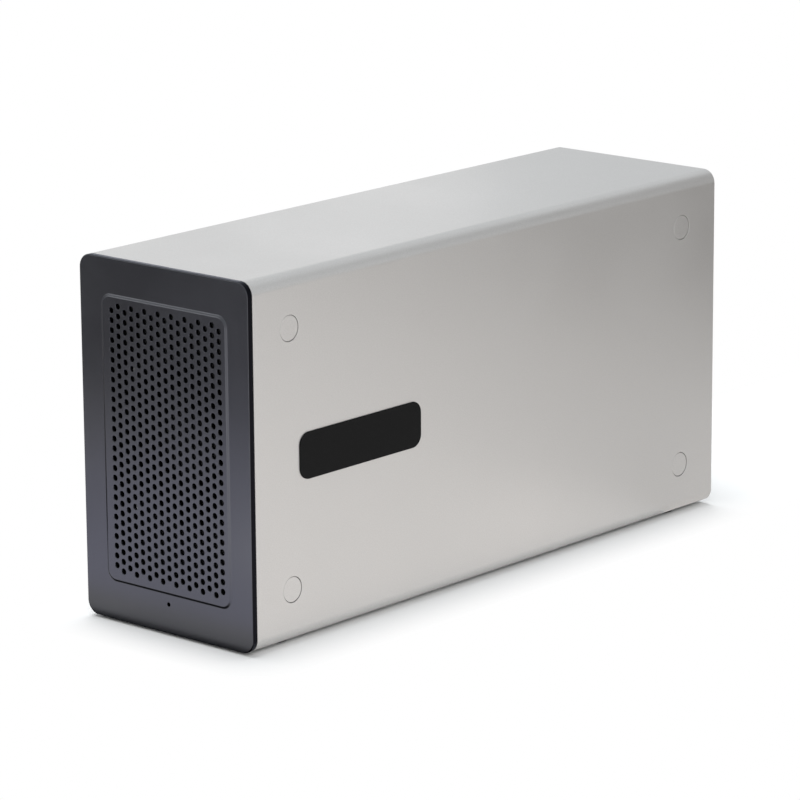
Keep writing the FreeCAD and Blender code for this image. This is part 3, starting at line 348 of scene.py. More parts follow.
def makeFinish(name, **ownLook):
    look = {**plainLook, "cast": ownLook["light"], **ownLook}
    material = bpy.data.materials.new(name)
    material.use_nodes = True
    tree = material.node_tree
    shader = tree.nodes["Principled BSDF"].inputs
    coords = tree.nodes.new("ShaderNodeTexCoord").outputs
    place = coords["Object"]
    grain = placeGroup(tree, grainGroup, place, look["grainSize"])
    cloud = placeGroup(tree, cloudGroup, place, look["cloudSize"])["Cloud"]
    colour, height = mixColours(tree, grain["Speck"], look["dark"], look["light"]), grain["Height"]
    if "brush" in look:  # squeezes the grain into lines along one axis
        squeeze = tree.nodes.new("ShaderNodeMapping")
        squeeze.inputs["Scale"].default_value = look["brush"]
        tree.links.new(place, squeeze.inputs["Vector"])
        height = placeGroup(tree, brushGroup, squeeze.outputs["Vector"], look["brushSize"])["Line"]
        colour = mixColours(tree, height, look["dark"], look["light"])
    tone = mixColours(tree, cloud, colour, look["cast"])
    feed(tree, shader["Base Color"], mixColours(tree, look["castShare"], colour, tone))
    feed(tree, shader["Roughness"], rangeNode(tree, cloud, 0.0, 1.0, *look["roughness"]))
    feed(tree, shader["Metallic"], look["metallic"])
    if "rim" in look:  # dull near black: the cut edge behind the face, and painted shade on slopes that turn down or left
        slope = splitNode(tree, coords["Normal"])
        # painted shade: the more a face turns left or down, the darker it is made
        lee = rangeNode(tree, mathNode(tree, "MINIMUM", slope["X"], slope["Z"]), *look["lee"])
        edge = rangeNode(tree, splitNode(tree, place)["Y"], *look["rim"])
        feed(tree, shader["Metallic"], mathNode(tree, "MAXIMUM", edge, lee))
    feed(tree, shader["Specular IOR Level"], look["specular"])
    feed(tree, shader["Specular Tint"], look["shine"])
    if "clear" in look:
        feed(tree, shader["Transmission Weight"], look["clear"])
        feed(tree, shader["IOR"], look["index"])
    bump = tree.nodes.new("ShaderNodeBump")
    for label, value in (("Strength", look["bump"]), ("Distance", look["bumpDistance"]), ("Height", height)):
        feed(tree, bump.inputs[label], value)
    feed(tree, shader["Normal"], bump.outputs["Normal"])
    return material


shellSilver = makeFinish(
    "shellSilver", dark=(0.59, 0.577, 0.565), light=(0.69, 0.678, 0.667), cast=(0.645, 0.633, 0.622),
    roughness=(0.36, 0.44), metallic=0.86, grainSize=2600.0, bump=0.12, cloudSize=14.0)
plateLook = dict(
    dark=(0.005, 0.005, 0.007), light=(0.009, 0.009, 0.012), cast=(0.0075, 0.0075, 0.010),
    roughness=(0.27, 0.34), grainSize=2200.0, bump=0.1, cloudSize=25.0, specular=1.0,
    shine=(0.9, 0.92, 1.0))
plateCharcoal = makeFinish("plateCharcoal", **plateLook)
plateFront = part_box("front_plate")[0].y
# the front plate's finish: its cut edge dulled near black, and painted shade on its down- and left-facing
# slopes
frontCharcoal = makeFinish(
    "frontCharcoal", **plateLook, rim=(plateFront + 0.55 * mm, plateFront + 0.75 * mm), lee=(-0.15, -0.4))
badgeBlack = makeFinish(
    "badgeBlack", dark=(0.005, 0.005, 0.0052), light=(0.009, 0.009, 0.0092),
    roughness=(0.42, 0.5), grainSize=1800.0, bump=0.06, specular=0.06)
footRubber = makeFinish(
    "footRubber", dark=(0.018, 0.018, 0.018), light=(0.035, 0.035, 0.034),
    roughness=(0.75, 0.9), grainSize=2400.0, bump=0.35)
sheetSteel = makeFinish(
    "sheetSteel", dark=(0.40, 0.41, 0.42), light=(0.56, 0.57, 0.58), cast=(0.50, 0.50, 0.48),
    roughness=(0.28, 0.42), metallic=1.0, grainSize=700.0, bump=0.06,
    brush=(1.0, 0.03, 1.0), castShare=0.5)
bulkheadBlack = makeFinish(
    "bulkheadBlack", dark=(0.010, 0.010, 0.011), light=(0.017, 0.017, 0.018),
    roughness=(0.55, 0.68), grainSize=2200.0, bump=0.3)
fastenerSteel = makeFinish(
    "fastenerSteel", dark=(0.38, 0.38, 0.38), light=(0.52, 0.52, 0.51),
    roughness=(0.24, 0.36), metallic=1.0, grainSize=2600.0, bump=0.1)
insertBrass = makeFinish(
    "insertBrass", dark=(0.55, 0.40, 0.16), light=(0.70, 0.54, 0.26),
    roughness=(0.22, 0.34), metallic=1.0, grainSize=2600.0, bump=0.1)
glidePlastic = makeFinish(
    "glidePlastic", dark=(0.62, 0.62, 0.58), light=(0.74, 0.74, 0.70),
    roughness=(0.42, 0.55), grainSize=1600.0, bump=0.12)
boardLaminate = makeFinish(
    "boardLaminate", dark=(0.010, 0.050, 0.026), light=(0.022, 0.085, 0.045),
    roughness=(0.3, 0.42), grainSize=500.0, bump=0.08)
connectorPlastic = makeFinish(
    "connectorPlastic", dark=(0.012, 0.012, 0.012), light=(0.026, 0.026, 0.026),
    roughness=(0.45, 0.58), grainSize=2600.0, bump=0.22)
latchPlastic = makeFinish(
    "latchPlastic", dark=(0.50, 0.50, 0.48), light=(0.62, 0.62, 0.60),
    roughness=(0.4, 0.55), grainSize=2200.0, bump=0.16)
portMetal = makeFinish(
    "portMetal", dark=(0.52, 0.52, 0.51), light=(0.66, 0.66, 0.65),
    roughness=(0.2, 0.3), metallic=1.0, grainSize=2200.0, bump=0.05)
chipBlack = makeFinish(
    "chipBlack", dark=(0.013, 0.013, 0.014), light=(0.030, 0.030, 0.032),
    roughness=(0.5, 0.65), grainSize=3200.0, bump=0.3)
heatsinkMetal = makeFinish(
    "heatsinkMetal", dark=(0.03, 0.03, 0.032), light=(0.06, 0.06, 0.064),
    roughness=(0.35, 0.48), metallic=0.7, grainSize=1500.0, bump=0.08, brush=(1.0, 0.03, 1.0))
pinPlastic = makeFinish(
    "pinPlastic", dark=(0.72, 0.72, 0.68), light=(0.82, 0.82, 0.79),
    roughness=(0.4, 0.5), grainSize=1800.0, bump=0.1)
capacitorCan = makeFinish(
    "capacitorCan", dark=(0.58, 0.58, 0.58), light=(0.72, 0.72, 0.72),
    roughness=(0.24, 0.34), metallic=1.0, grainSize=1800.0, bump=0.06)
indicatorClear = makeFinish(
    "indicatorClear", dark=(0.80, 0.84, 0.86), light=(0.90, 0.93, 0.94),
    roughness=(0.08, 0.14), grainSize=900.0, bump=0.02, clear=0.9)
fanPlastic = makeFinish(
    "fanPlastic", dark=(0.010, 0.010, 0.010), light=(0.022, 0.022, 0.022),
    roughness=(0.42, 0.55), grainSize=2200.0, bump=0.2)
statorMetal = makeFinish(
    "statorMetal", dark=(0.36, 0.15, 0.06), light=(0.60, 0.28, 0.12),
    roughness=(0.3, 0.42), metallic=1.0, grainSize=1500.0, bump=0.25, brush=(1.0, 1.0, 0.05))
contactGold = makeFinish(
    "contactGold", dark=(0.62, 0.44, 0.15), light=(0.78, 0.60, 0.26),
    roughness=(0.2, 0.3), metallic=1.0, grainSize=2600.0, bump=0.05)
ceramicTan = makeFinish(
    "ceramicTan", dark=(0.30, 0.20, 0.12), light=(0.42, 0.29, 0.18),
    roughness=(0.45, 0.6), grainSize=3000.0, bump=0.15)
foilSilver = makeFinish(
    "foilSilver", dark=(0.55, 0.55, 0.55), light=(0.70, 0.70, 0.70), cast=(0.62, 0.62, 0.60),
    roughness=(0.3, 0.42), metallic=0.9, grainSize=1800.0, bump=0.06)


traces = {
    "size": 900.0, "patch": (9.0 * mm, 13.0 * mm, 1.0), "jog": 6.0 * mm, "jogEnds": (2.5 * mm, 4.0 * mm),
    "picks": (("X", "Y", "GREATER_THAN", 0.55), ("Y", "X", "LESS_THAN", 0.32)), "gap": 0.62,
    "viaSpread": 190.0, "via": 0.075,
    "traceColour": (0.035, 0.125, 0.066), "viaColour": (0.42, 0.36, 0.20), "grain": 0.4, "bump": 0.35}


def makeTraceGroup():  # bundles of fine lines in patches, and small round vias
    group, place, size, end = newGroup("boardTraces", traces["size"], "Trace", "Via")
    pick = group.nodes.new("ShaderNodeTexWhiteNoise")
    pick.noise_dimensions = "2D"
    group.links.new(vectorNode(group, "SNAP", place, traces["patch"]), pick.inputs["Vector"])
    parts = splitNode(group, place)
    least, most = traces["jogEnds"]
    bundles = []
    for along, across, test, share in traces["picks"]:  # straight lines, with a slanted jog now and then
        jog = mathNode(group, "PINGPONG", parts[across], traces["jog"])
        kept = mathNode(group, "MINIMUM", mathNode(group, "MAXIMUM", jog, least), most)
        spread = mathNode(group, "MULTIPLY", mathNode(group, "ADD", parts[along], kept), size)
        line = mathNode(group, "GREATER_THAN", mathNode(group, "FRACT", spread, 0.0), traces["gap"])
        bundles.append(mathNode(group, "MULTIPLY", line, mathNode(group, test, pick.outputs["Value"], share)))
    group.links.new(mathNode(group, "MAXIMUM", *bundles), end["Trace"])
    dots = group.nodes.new("ShaderNodeTexVoronoi")
    dots.voronoi_dimensions = "2D"
    dots.inputs["Scale"].default_value = traces["viaSpread"]
    group.links.new(place, dots.inputs["Vector"])
    group.links.new(mathNode(group, "LESS_THAN", dots.outputs["Distance"], traces["via"]), end["Via"])
    return group


traceGroup = makeTraceGroup()


def addTraces(material, order):  # order: which coordinates lie along the board
    tree = material.node_tree
    shader = tree.nodes["Principled BSDF"].inputs
    parts = splitNode(tree, tree.nodes.new("ShaderNodeTexCoord").outputs["Object"])
    laid = tree.nodes.new("ShaderNodeCombineXYZ")
    for socket, axis in zip(laid.inputs, order):
        tree.links.new(parts[axis], socket)
    marks = placeGroup(tree, traceGroup, laid.outputs[0], traces["size"])
    base = shader["Base Color"].links[0].from_socket
    lined = mixColours(tree, marks["Trace"], base, traces["traceColour"])
    tree.links.new(mixColours(tree, marks["Via"], lined, traces["viaColour"]), shader["Base Color"])
    bump = shader["Normal"].links[0].from_node.inputs
    grain = mathNode(tree, "MULTIPLY", bump["Height"].links[0].from_socket, traces["grain"])
    raised = mathNode(tree, "ADD", marks["Trace"], marks["Via"])
    tree.links.new(mathNode(tree, "ADD", raised, grain), bump["Height"])
    bump["Strength"].default_value = traces["bump"]


uprightLaminate = boardLaminate.copy()
uprightLaminate.name = "uprightLaminate"
addTraces(boardLaminate, ("X", "Y", "Z"))
addTraces(uprightLaminate, ("Y", "Z", "X"))
finishes = {
    "shell_silver": shellSilver, "plate_charcoal": plateCharcoal, "badge_black": badgeBlack,
    "foot_rubber": footRubber, "sheet_steel": sheetSteel, "bulkhead_black": bulkheadBlack,
    "fastener_steel": fastenerSteel, "insert_brass": insertBrass, "glide_plastic": glidePlastic,
    "board_laminate": boardLaminate, "connector_plastic": connectorPlastic, "latch_plastic": latchPlastic,
    "port_metal": portMetal, "chip_black": chipBlack, "heatsink_metal": heatsinkMetal,
    "pin_plastic": pinPlastic, "capacitor_can": capacitorCan, "indicator_clear": indicatorClear,
    "fan_plastic": fanPlastic, "stator_metal": statorMetal}
for entry in frame["record"]["subparts"]:  # every CAD node takes its slot's finish
    mesh = nodes[entry["node"]].data
    mesh.materials.clear()
    upright = entry["node"] == "io_board"
    mesh.materials.append(uprightLaminate if upright else finishes[entry["material_slot"]])
print("stage: finishes")


# sleeve: a bent sheet with open ends and a round seat for each rivet head
sleeve = {
    "bend": 5.0 * mm, "bendSteps": 14, "wall": 1.6 * mm, "rim": 0.2 * mm,
    "seat": 4.65 * mm, "seatDepth": 0.8 * mm, "seam": 0.3 * mm}


def makeSleeve():
    low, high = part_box("outer_shell")
    shell = addBlock("sleeveShell", low + Vector((0, sleeve["seam"], 0)), high)  # seam at the front plate
    bevelEdges(shell, sleeve["bend"], sleeve["bendSteps"], alongAxis(1))
    pickFaces(shell, lambda centre, normal: abs(normal.y) > 0.9)
    bpy.ops.mesh.delete(type="ONLY_FACE")
    endEdit()
    applyModifier(shell, "SOLIDIFY", thickness=sleeve["wall"], offset=-1, use_even_offset=True)  # inwards
    for node, side in (("shell_rivets_right", 1), ("shell_rivets_left", -1)):
        for start, end in solidBoxes(node):
            mid = (start + end) / 2
            outer, inner = side * (high.x + mm), side * (high.x - sleeve["seatDepth"])
            carve(shell, addRound("seatCutter", sleeve["seat"], inner, outer, "x", (mid.y, mid.z), 56))
    roundRims(shell, sleeve["rim"], 2)
    smoothShade(shell)
    fitOut(shell, shellSilver, "sleeve", "shell_silver", "outer_shell")


# rivets: a flat head in its seat, a set tail inside
rivet = {
    "slack": (0, -0.09 * mm, 0.05 * mm), "rim": 0.16 * mm, "rimSteps": 3, "shank": 2.0 * mm,
    "tail": 3.0 * mm, "tailHeight": 0.8 * mm, "tailEdge": 0.3 * mm, "tailShare": 0.8}


def makeRivet(low, high, side):
    radius = (high.y - low.y) / 2
    spot = (low + high) / 2 + Vector(rivet["slack"])  # the head sits a little off the middle of its seat
    spot.x = 0
    face, inner = (high.x, low.x) if side > 0 else (low.x, high.x)
    seat = side * (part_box("outer_shell")[1].x - sleeve["seatDepth"])
    neck = inner + side * rivet["tailHeight"]
    tail, shank = rivet["tail"], rivet["shank"]
    head = turned("rivetHead", spot, "x", (
        (tail * rivet["tailShare"], inner), (tail, inner + side * rivet["tailEdge"]), (tail, neck),
        (shank, neck), (shank, seat), (radius, seat), (radius, face)), 56)
    bevelEdges(head, rivet["rim"], rivet["rimSteps"], atLevel(0, face))
    smoothShade(head)
    return head


def makeRivets():
    sets = ("shell_rivets_right", 1, "rivetsRight"), ("shell_rivets_left", -1, "rivetsLeft")
    for node, side, name in sets:
        heads = [makeRivet(low, high, side) for low, high in solidBoxes(node)]
        fitOut(joinAll(heads, name), shellSilver, "sleeve", "shell_silver", node)


# badge: a blank rounded plate
badge = {"corner": 4.5 * mm, "cornerSteps": 10, "rim": 0.12 * mm, "rimSteps": 3}


def makeBadge():
    low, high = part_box("side_badge")
    plate = addBlock("badgePlate", low, high)
    bevelEdges(plate, badge["corner"], badge["cornerSteps"], alongAxis(0))
    bevelEdges(plate, badge["rim"], badge["rimSteps"], atLevel(0, high.x))
    smoothShade(plate)
    fitOut(plate, badgeBlack, "sleeve", "badge_black", "side_badge")


# feet: low rubber pads with a moulded ring
foot = {"rim": 0.3 * mm, "rimSteps": 3, "ring": 1.6 * mm, "groove": 0.25 * mm}


def makeFeet():
    pads = []
    for low, high in solidBoxes("base_feet"):
        mid = (low + high) / 2
        pad = addRound("footPad", mid.x - low.x, low.z, high.z, "z", (mid.x, mid.y))
        bevelEdges(pad, foot["rim"], foot["rimSteps"], atLevel(2, low.z))
        pickFaces(pad, lambda centre, normal: normal.z < -0.999)
        bpy.ops.mesh.inset(thickness=foot["ring"])
        bpy.ops.mesh.inset(thickness=foot["groove"])
        bpy.ops.transform.translate(value=(0, 0, foot["groove"]))
        endEdit()
        smoothShade(pad)
        pads.append(pad)
    fitOut(joinAll(pads, "feetPads"), footRubber, "sleeve", "foot_rubber", "base_feet")


# front plate: a sheet with a soft edge, and a pressed panel full of staggered holes
plate = {
    "corner": 5.0 * mm, "cornerSteps": 14, "edge": 0.35 * mm, "edgeSteps": 4,
    "indicator": (0.0, 11.5 * mm), "indicatorRadius": 0.8 * mm}
panel = {
    "low": (-29.7 * mm, 14.9 * mm), "high": (30.5 * mm, 118.5 * mm), "corner": 4.45 * mm, "cornerSteps": 8,
    "fold": 1.2 * mm, "foldSteps": 10, "rise": 0.5 * mm}
perforation = {
    "pitch": (3.19 * mm, 3.516 * mm), "columns": 17, "rows": 28, "middle": (1.1 * mm, 66.95 * mm),
    "radius": 1.05 * mm, "lip": 0.2 * mm, "lipSteps": 2, "sheet": 1.2 * mm, "sides": 16}


def holeField(front):  # tiles with one eased hole each; plain half tiles end the short columns
    stepX, stepZ = perforation["pitch"]
    middleX, middleZ = perforation["middle"]
    back = front + perforation["sheet"]
    reach = perforation["radius"] * 1.01
    columns = []
    for odd in (0, 1):
        count = perforation["rows"] - 1 + odd
        x = middleX + (odd - (perforation["columns"] - 1) / 2) * stepX
        z = middleZ - (count - 1) / 2 * stepZ
        tile = addBlock(
            "holeTile", (x - stepX / 2, front, z - stepZ / 2), (x + stepX / 2, back, z + stepZ / 2))
        carve(tile, addRound(
            "holeCutter", perforation["radius"], front - mm, back + mm, "y", (x, z), perforation["sides"]))
        bevelEdges(
            tile, perforation["lip"], perforation["lipSteps"], lambda a, b: max(a.y, b.y) < front + near
            and max(math.hypot(spot.x - x, spot.z - z) for spot in (a, b)) < reach)
        pickFaces(  # the back and the four sides come off
            tile, lambda centre, normal: normal.y > 0.99
            or max(abs(centre.x - x) / stepX, abs(centre.z - z) / stepZ) > 0.499)
        bpy.ops.mesh.delete(type="FACE")
        endEdit()
        repeat(tile, count, (0, 0, stepZ))
        columns.append(repeat(tile, (perforation["columns"] + 1 - odd) // 2, (2 * stepX, 0, 0)))
        if not odd:
            for low in (z - stepZ, z + (count - 0.5) * stepZ):
                filler = addBlock(
                    "plainTile", (x - stepX / 2, front, low), (x + stepX / 2, back, low + stepZ / 2))
                columns.append(repeat(filler, (perforation["columns"] + 1) // 2, (2 * stepX, 0, 0)))
    return joinAll(columns, "holeField")


def panelSheet(foot):  # a rounded rectangle whose sides rise in a soft fold, with room for the hole field
    (x0, z0), (x1, z1) = panel["low"], panel["high"]
    clearSelection()
    middle = ((x0 + x1) / 2, foot, (z0 + z1) / 2)
    bpy.ops.mesh.primitive_plane_add(size=1, location=middle, rotation=(math.pi / 2, 0, 0))
    bpy.context.object.scale = (x1 - x0, z1 - z0, 1)
    sheet = settle(bpy.context.object, "panelSheet")
    activate(sheet)
    bpy.ops.object.mode_set(mode="EDIT")
    bpy.ops.mesh.select_mode(type="VERT")
    bpy.ops.mesh.select_all(action="SELECT")
    bpy.ops.mesh.bevel(offset=panel["corner"], segments=panel["cornerSteps"], affect="VERTICES")
    bpy.ops.mesh.select_mode(type="FACE")
    bpy.ops.mesh.select_all(action="SELECT")
    before = 0.0
    for step in range(1, panel["foldSteps"] + 1):
        share = step / panel["foldSteps"]
        height = panel["rise"] * share * share * (3 - 2 * share)
        bpy.ops.mesh.inset(thickness=panel["fold"] / panel["foldSteps"])
        bpy.ops.transform.translate(value=(0, before - height, 0))
        before = height
    bpy.ops.mesh.select_mode(type="EDGE")
    bpy.ops.mesh.select_all(action="DESELECT")
    bpy.ops.mesh.select_non_manifold()
    bpy.ops.mesh.edge_face_add()  # a closed back, so the room can be carved
    bpy.ops.mesh.select_all(action="SELECT")
    bpy.ops.mesh.normals_make_consistent(inside=False)
    endEdit()
    return sheet


def makePlate():
    low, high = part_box("front_plate")
    front, face = low.y, low.y + panel["rise"]
    halfX = perforation["columns"] * perforation["pitch"][0] / 2
    halfZ = perforation["rows"] * perforation["pitch"][1] / 2
    middleX, middleZ = perforation["middle"]
    corners = (
        (middleX - halfX, front - mm, middleZ - halfZ), (middleX + halfX, high.y + mm, middleZ + halfZ))
    slab = addBlock("plateSlab", (low.x, face, low.z), high)
    bevelEdges(slab, plate["corner"], plate["cornerSteps"], alongAxis(1))
    bevelEdges(slab, plate["edge"], plate["edgeSteps"], atLevel(1, face))
    carve(slab, addBlock("roomCutter", *corners), addRound(
        "lampCutter", plate["indicatorRadius"], front, high.y + mm, "y", plate["indicator"], 32))
    sheet = panelSheet(face)
    carve(sheet, addBlock("roomCutter", *corners))
    whole = joinAll([slab, sheet, holeField(front)], "frontPlate")
    smoothShade(whole, 50)
    fitOut(whole, frontCharcoal, "sleeve", "plate_charcoal", "front_plate")


makeSleeve()
makeRivets()
makeBadge()
makeFeet()
makePlate()
print("stage: sleeve and trim")


# screws: domed heads with a cross recess
screw = {
    "shank": 1.5 * mm, "head": 1.8 * mm, "dome": 0.85 * mm, "domeSteps": 4, "tip": 0.5 * mm, "tipShare": 0.7,
    "arm": 1.7 * mm, "slot": 0.36 * mm, "depth": 1.0 * mm, "taper": 0.55}
screwSets = (  # node, name, axis, which end has the head
    ("rear_plate_screws", "rearPlateScrews", 1, 1), ("slot_cover_screws", "slotCoverScrews", 2, 1),
    ("fan_screws", "fanScrews", 1, -1), ("board_screws", "boardScrews", 2, 1),
    ("tray_screws", "trayScrews", 2, 1))


def makeScrew(low, high, axis, headEnd):
    top, foot = (high[axis], low[axis]) if headEnd > 0 else (low[axis], high[axis])
    seat, tip = top - headEnd * screw["head"], foot + headEnd * screw["tip"]
    side = (axis + 1) % 3
    radius, shank = (high[side] - low[side]) / 2, screw["shank"]
    spot = (low + high) / 2
    spot[axis] = 0
    piece = turned("screwMaster", spot, "xyz"[axis], (
        (shank * screw["tipShare"], foot), (shank, tip), (shank, seat), (radius, seat), (radius, top)))
    bevelEdges(piece, screw["dome"], screw["domeSteps"], atLevel(axis, top))
    for long in [i for i in range(3) if i != axis]:
        reach = Vector((screw["slot"],) * 3)
        reach[long], reach[axis] = screw["arm"], screw["depth"]
        centre, floor = Vector(spot), Vector(spot)
        centre[axis], floor[axis] = top, top - headEnd * screw["depth"]
        cutter = addBlock("recessCutter", centre - reach, centre + reach)
        pickFaces(cutter, lambda spotOn, normal: normal[axis] * headEnd < -0.9)
        bpy.ops.transform.resize(value=(screw["taper"],) * 3, center_override=floor)
        endEdit()
        carve(piece, cutter)
    smoothShade(piece, 40)
    return piece


def makeScrews():
    for node, name, axis, headEnd in screwSets:
        masters, copies = {}, []
        for low, high in solidBoxes(node):
            length = round(high[axis] - low[axis], 5)
            if length in masters:
                piece, firstLow = masters[length]
                copies.append(copyMoved(piece, low - firstLow, "screwCopy"))
            else:
                masters[length] = (makeScrew(low, high, axis, headEnd), low)
        pieces = [piece for piece, firstLow in masters.values()] + copies
        fitOut(joinAll(pieces, name), fastenerSteel, "tray", "fastener_steel", node)


boardPad = {"radius": 3.5 * mm, "rise": 0.04 * mm, "rim": 0.025 * mm}


def makeBoardPads():  # bare rings under the board's screws
    pads = []
    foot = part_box("carrier_board")[1].z
    top = foot + boardPad["rise"]
    for low, high in solidBoxes("board_screws"):
        mid = (low + high) / 2
        pad = addRound("pad", boardPad["radius"], foot, top, "z", (mid.x, mid.y), 36)
        bevelEdges(pad, boardPad["rim"], 1, atLevel(2, top))
        pads.append(pad)
    fitOut(joinAll(pads, "boardPads"), portMetal, "tray", "port_metal")


makeBoardPads()
makeScrews()
print("stage: screws")


# ports: black tongues with gold contacts inside the metal shells, and the jack's metal pin
port = {
    "floor": 1.6 * mm, "endGap": 1.4 * mm, "sideGap": 1.2 * mm, "half": 0.45 * mm, "rim": 0.12 * mm,
    "contactLength": 3.2 * mm, "contactEnd": 0.3 * mm, "contactShare": 0.28, "contactSunk": 0.02 * mm,
    "contactRise": 0.05 * mm, "contactRim": 0.02 * mm}
portSets = (("host_port_1", 12, 0.5 * mm), ("host_port_2", 12, 0.5 * mm), ("video_port", 10, 1.2 * mm))
jack = {
    "pin": 1.1 * mm, "bore": 9.4 * mm, "endGap": 0.9 * mm,
    "nose": ((1.0, 0.5 * mm), (0.85, 0.15 * mm), (0.5, 0.0)),
    "collar": 2.78 * mm, "collarEnds": (4.0 * mm, 0.35 * mm), "collarWall": 0.18 * mm, "cut": 6.0 * mm}


def makePortInserts():
    tongues, contacts = [], []
    for node, count, pitch in portSets:
        low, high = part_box(node)
        mid = (low + high) / 2
        end = high.y - port["endGap"]
        tongue = addBlock(
            "tongue", (mid.x - port["half"], low.y + port["floor"], low.z + port["sideGap"]),
            (mid.x + port["half"], end, high.z - port["sideGap"]))
        roundRims(tongue, port["rim"], 2)
        tongues.append(tongue)
        tip, half = end - port["contactEnd"], port["contactShare"] * pitch
        start = mid.z - (count - 1) * pitch / 2
        for side in (-1, 1):
            inner, outer = port["half"] - port["contactSunk"], port["half"] + port["contactRise"]
            contact = addBlock(
                "contact", (mid.x + side * inner, tip - port["contactLength"], start - half),
                (mid.x + side * outer, tip, start + half))
            roundRims(contact, port["contactRim"], 1)
            contacts.append(repeat(contact, count, (0, 0, pitch)))
    fitOut(joinAll(tongues, "portTongues"), connectorPlastic, "tray", "connector_plastic")
    low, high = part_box("power_jack")
    mid = (low + high) / 2
    spot, end = (mid.x, 0, mid.z), high.y - jack["endGap"]
    nose = [(jack["pin"] * share, end - back) for share, back in jack["nose"]]
    pin = turned("jackPin", spot, "y", [(jack["pin"], high.y - jack["bore"])] + nose, 24)
    smoothShade(pin, 40)
    wall = [(jack["collar"], high.y - back) for back in jack["collarEnds"]]
    collar = turned("jackCollar", spot, "y", wall, 40)
    bore = jack["collar"] - jack["collarWall"]
    carve(collar, addRound("collarCutter", bore, high.y - jack["cut"], high.y, "y", (mid.x, mid.z), 40))
    smoothShade(collar, 40)
    fitOut(joinAll(contacts, "portContacts"), contactGold, "tray", "insert_brass")
    fitOut(joinAll([pin, collar], "jackMetal"), portMetal, "tray", "port_metal")


# card slots: two rows of spring contacts in each groove
slotRow = {
    "endWall": 2.5 * mm, "ears": 7.0 * mm, "keyFromRear": 14.5 * mm, "keyWidth": 1.9 * mm, "groove": 1.8 * mm,
    "drop": 0.9 * mm, "reach": 6.5 * mm, "pitch": 1.0 * mm, "width": 0.6 * mm, "spring": 0.28 * mm,
    "tipInset": 0.05 * mm, "tipLean": 0.08 * mm, "tipRise": 0.5 * mm}


def makeSlotContacts():
    half, pitch = slotRow["width"] / 2, slotRow["pitch"]
    for node, name in (("card_slot_1", "slotContacts1"), ("card_slot_2", "slotContacts2")):
        low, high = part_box(node)
        key, top = high.y - slotRow["keyFromRear"], high.z - slotRow["drop"]
        stretches = (
            (low.y + slotRow["ears"] + slotRow["endWall"], key - slotRow["keyWidth"] / 2),
            (key + slotRow["keyWidth"] / 2, high.y - slotRow["endWall"]))
        rows = []
        for start, end in stretches:
            count = int((end - start - slotRow["width"]) / pitch)
            first = (start + end) / 2 - (count - 1) * pitch / 2
            for side in (-1, 1):
                wall = (low.x + high.x) / 2 + side * slotRow["groove"] / 2
                spring = addBlock(
                    "spring", (wall, first - half, top - slotRow["reach"]),
                    (wall - side * slotRow["spring"], first + half, top))
                pickFaces(spring, lambda centre, normal: normal.z > 0.9)  # the top leans back to the wall
                bpy.ops.mesh.inset(thickness=slotRow["tipInset"])
                bpy.ops.transform.translate(value=(side * slotRow["tipLean"], 0, slotRow["tipRise"]))
                endEdit()
                rows.append(repeat(spring, count, (0, pitch, 0)))
        fitOut(joinAll(rows, name), contactGold, "tray", "insert_brass")


makePortInserts()
makeSlotContacts()
print("stage: ports and slots")


# capacitors: a crimped can on a plastic foot, with a stamped cross
can = {
    "foot": 0.9 * mm, "footCut": 1.6 * mm, "footRim": 0.12 * mm, "round": 0.45 * mm, "roundSteps": 4,
    "hem": ((0.94, -0.1 * mm), (1.0, 0.25 * mm), (1.0, 1.0 * mm)), "crimp": 0.3 * mm,
    "crimpRise": (1.3 * mm, 1.5 * mm, 1.8 * mm), "stamp": 0.14 * mm, "stampArm": 2.6 * mm,
    "band": (0.02, 0.02, 0.022), "bandFrom": 1.9 * mm, "bandDepth": 0.3 * mm}


def makeCapacitors():
    boxes = solidBoxes("bulk_capacitors")
    low, high = boxes[0]
    radius = (high.y - low.y) / 2
    spot = (low + high) / 2
    spot.z = 0
    base = low.z + can["foot"]
    neck, (first, second, third) = radius - can["crimp"], can["crimpRise"]
    body = turned("canBody", spot, "z", [(radius * share, base + rise) for share, rise in can["hem"]] + [
        (neck, base + first), (neck, base + second), (radius, base + third), (radius, high.z)], 44)
    bevelEdges(body, can["round"], can["roundSteps"], atLevel(2, high.z))
    for x, y in ((can["stampArm"], can["stamp"]), (can["stamp"], can["stampArm"])):
        carve(body, addBlock(
            "stampCutter", (spot.x - x, spot.y - y, high.z - can["stamp"]),
            (spot.x + x, spot.y + y, high.z + mm)))
    smoothShade(body, 35)
    foot = addBlock(
        "canFoot", (spot.x - radius, spot.y - radius, low.z), (spot.x + radius, spot.y + radius, base))
    bevelEdges(foot, can["footCut"], 1, lambda a, b: abs(a.z - b.z) > near and a.x > spot.x)
    roundRims(foot, can["footRim"], 2)
    bodies, feet = [body], [foot]
    for corners in boxes[1:]:
        bodies.append(copyMoved(body, corners[0] - low, "canBody"))
        feet.append(copyMoved(foot, corners[0] - low, "canFoot"))
    marked = markedCan(spot.x, high.z)
    fitOut(joinAll(bodies, "capacitorCans"), marked, "tray", "capacitor_can", "bulk_capacitors")
    fitOut(joinAll(feet, "capacitorFeet"), connectorPlastic, "tray", "connector_plastic")


def markedCan(x, top):  # the dark band on one side of each can's top
    material = capacitorCan.copy()
    material.name = "markedCan"
    tree = material.node_tree
    shader = tree.nodes["Principled BSDF"].inputs
    parts = splitNode(tree, tree.nodes.new("ShaderNodeTexCoord").outputs["Object"])
    side = mathNode(tree, "GREATER_THAN", parts["X"], x + can["bandFrom"])
    above = mathNode(tree, "GREATER_THAN", parts["Z"], top - can["bandDepth"])
    mask = mathNode(tree, "MULTIPLY", side, above)
    base = shader["Base Color"].links[0].from_socket
    tree.links.new(mixColours(tree, mask, base, can["band"]), shader["Base Color"])
    tree.links.new(mathNode(tree, "SUBTRACT", 1.0, mask), shader["Metallic"])
    return material


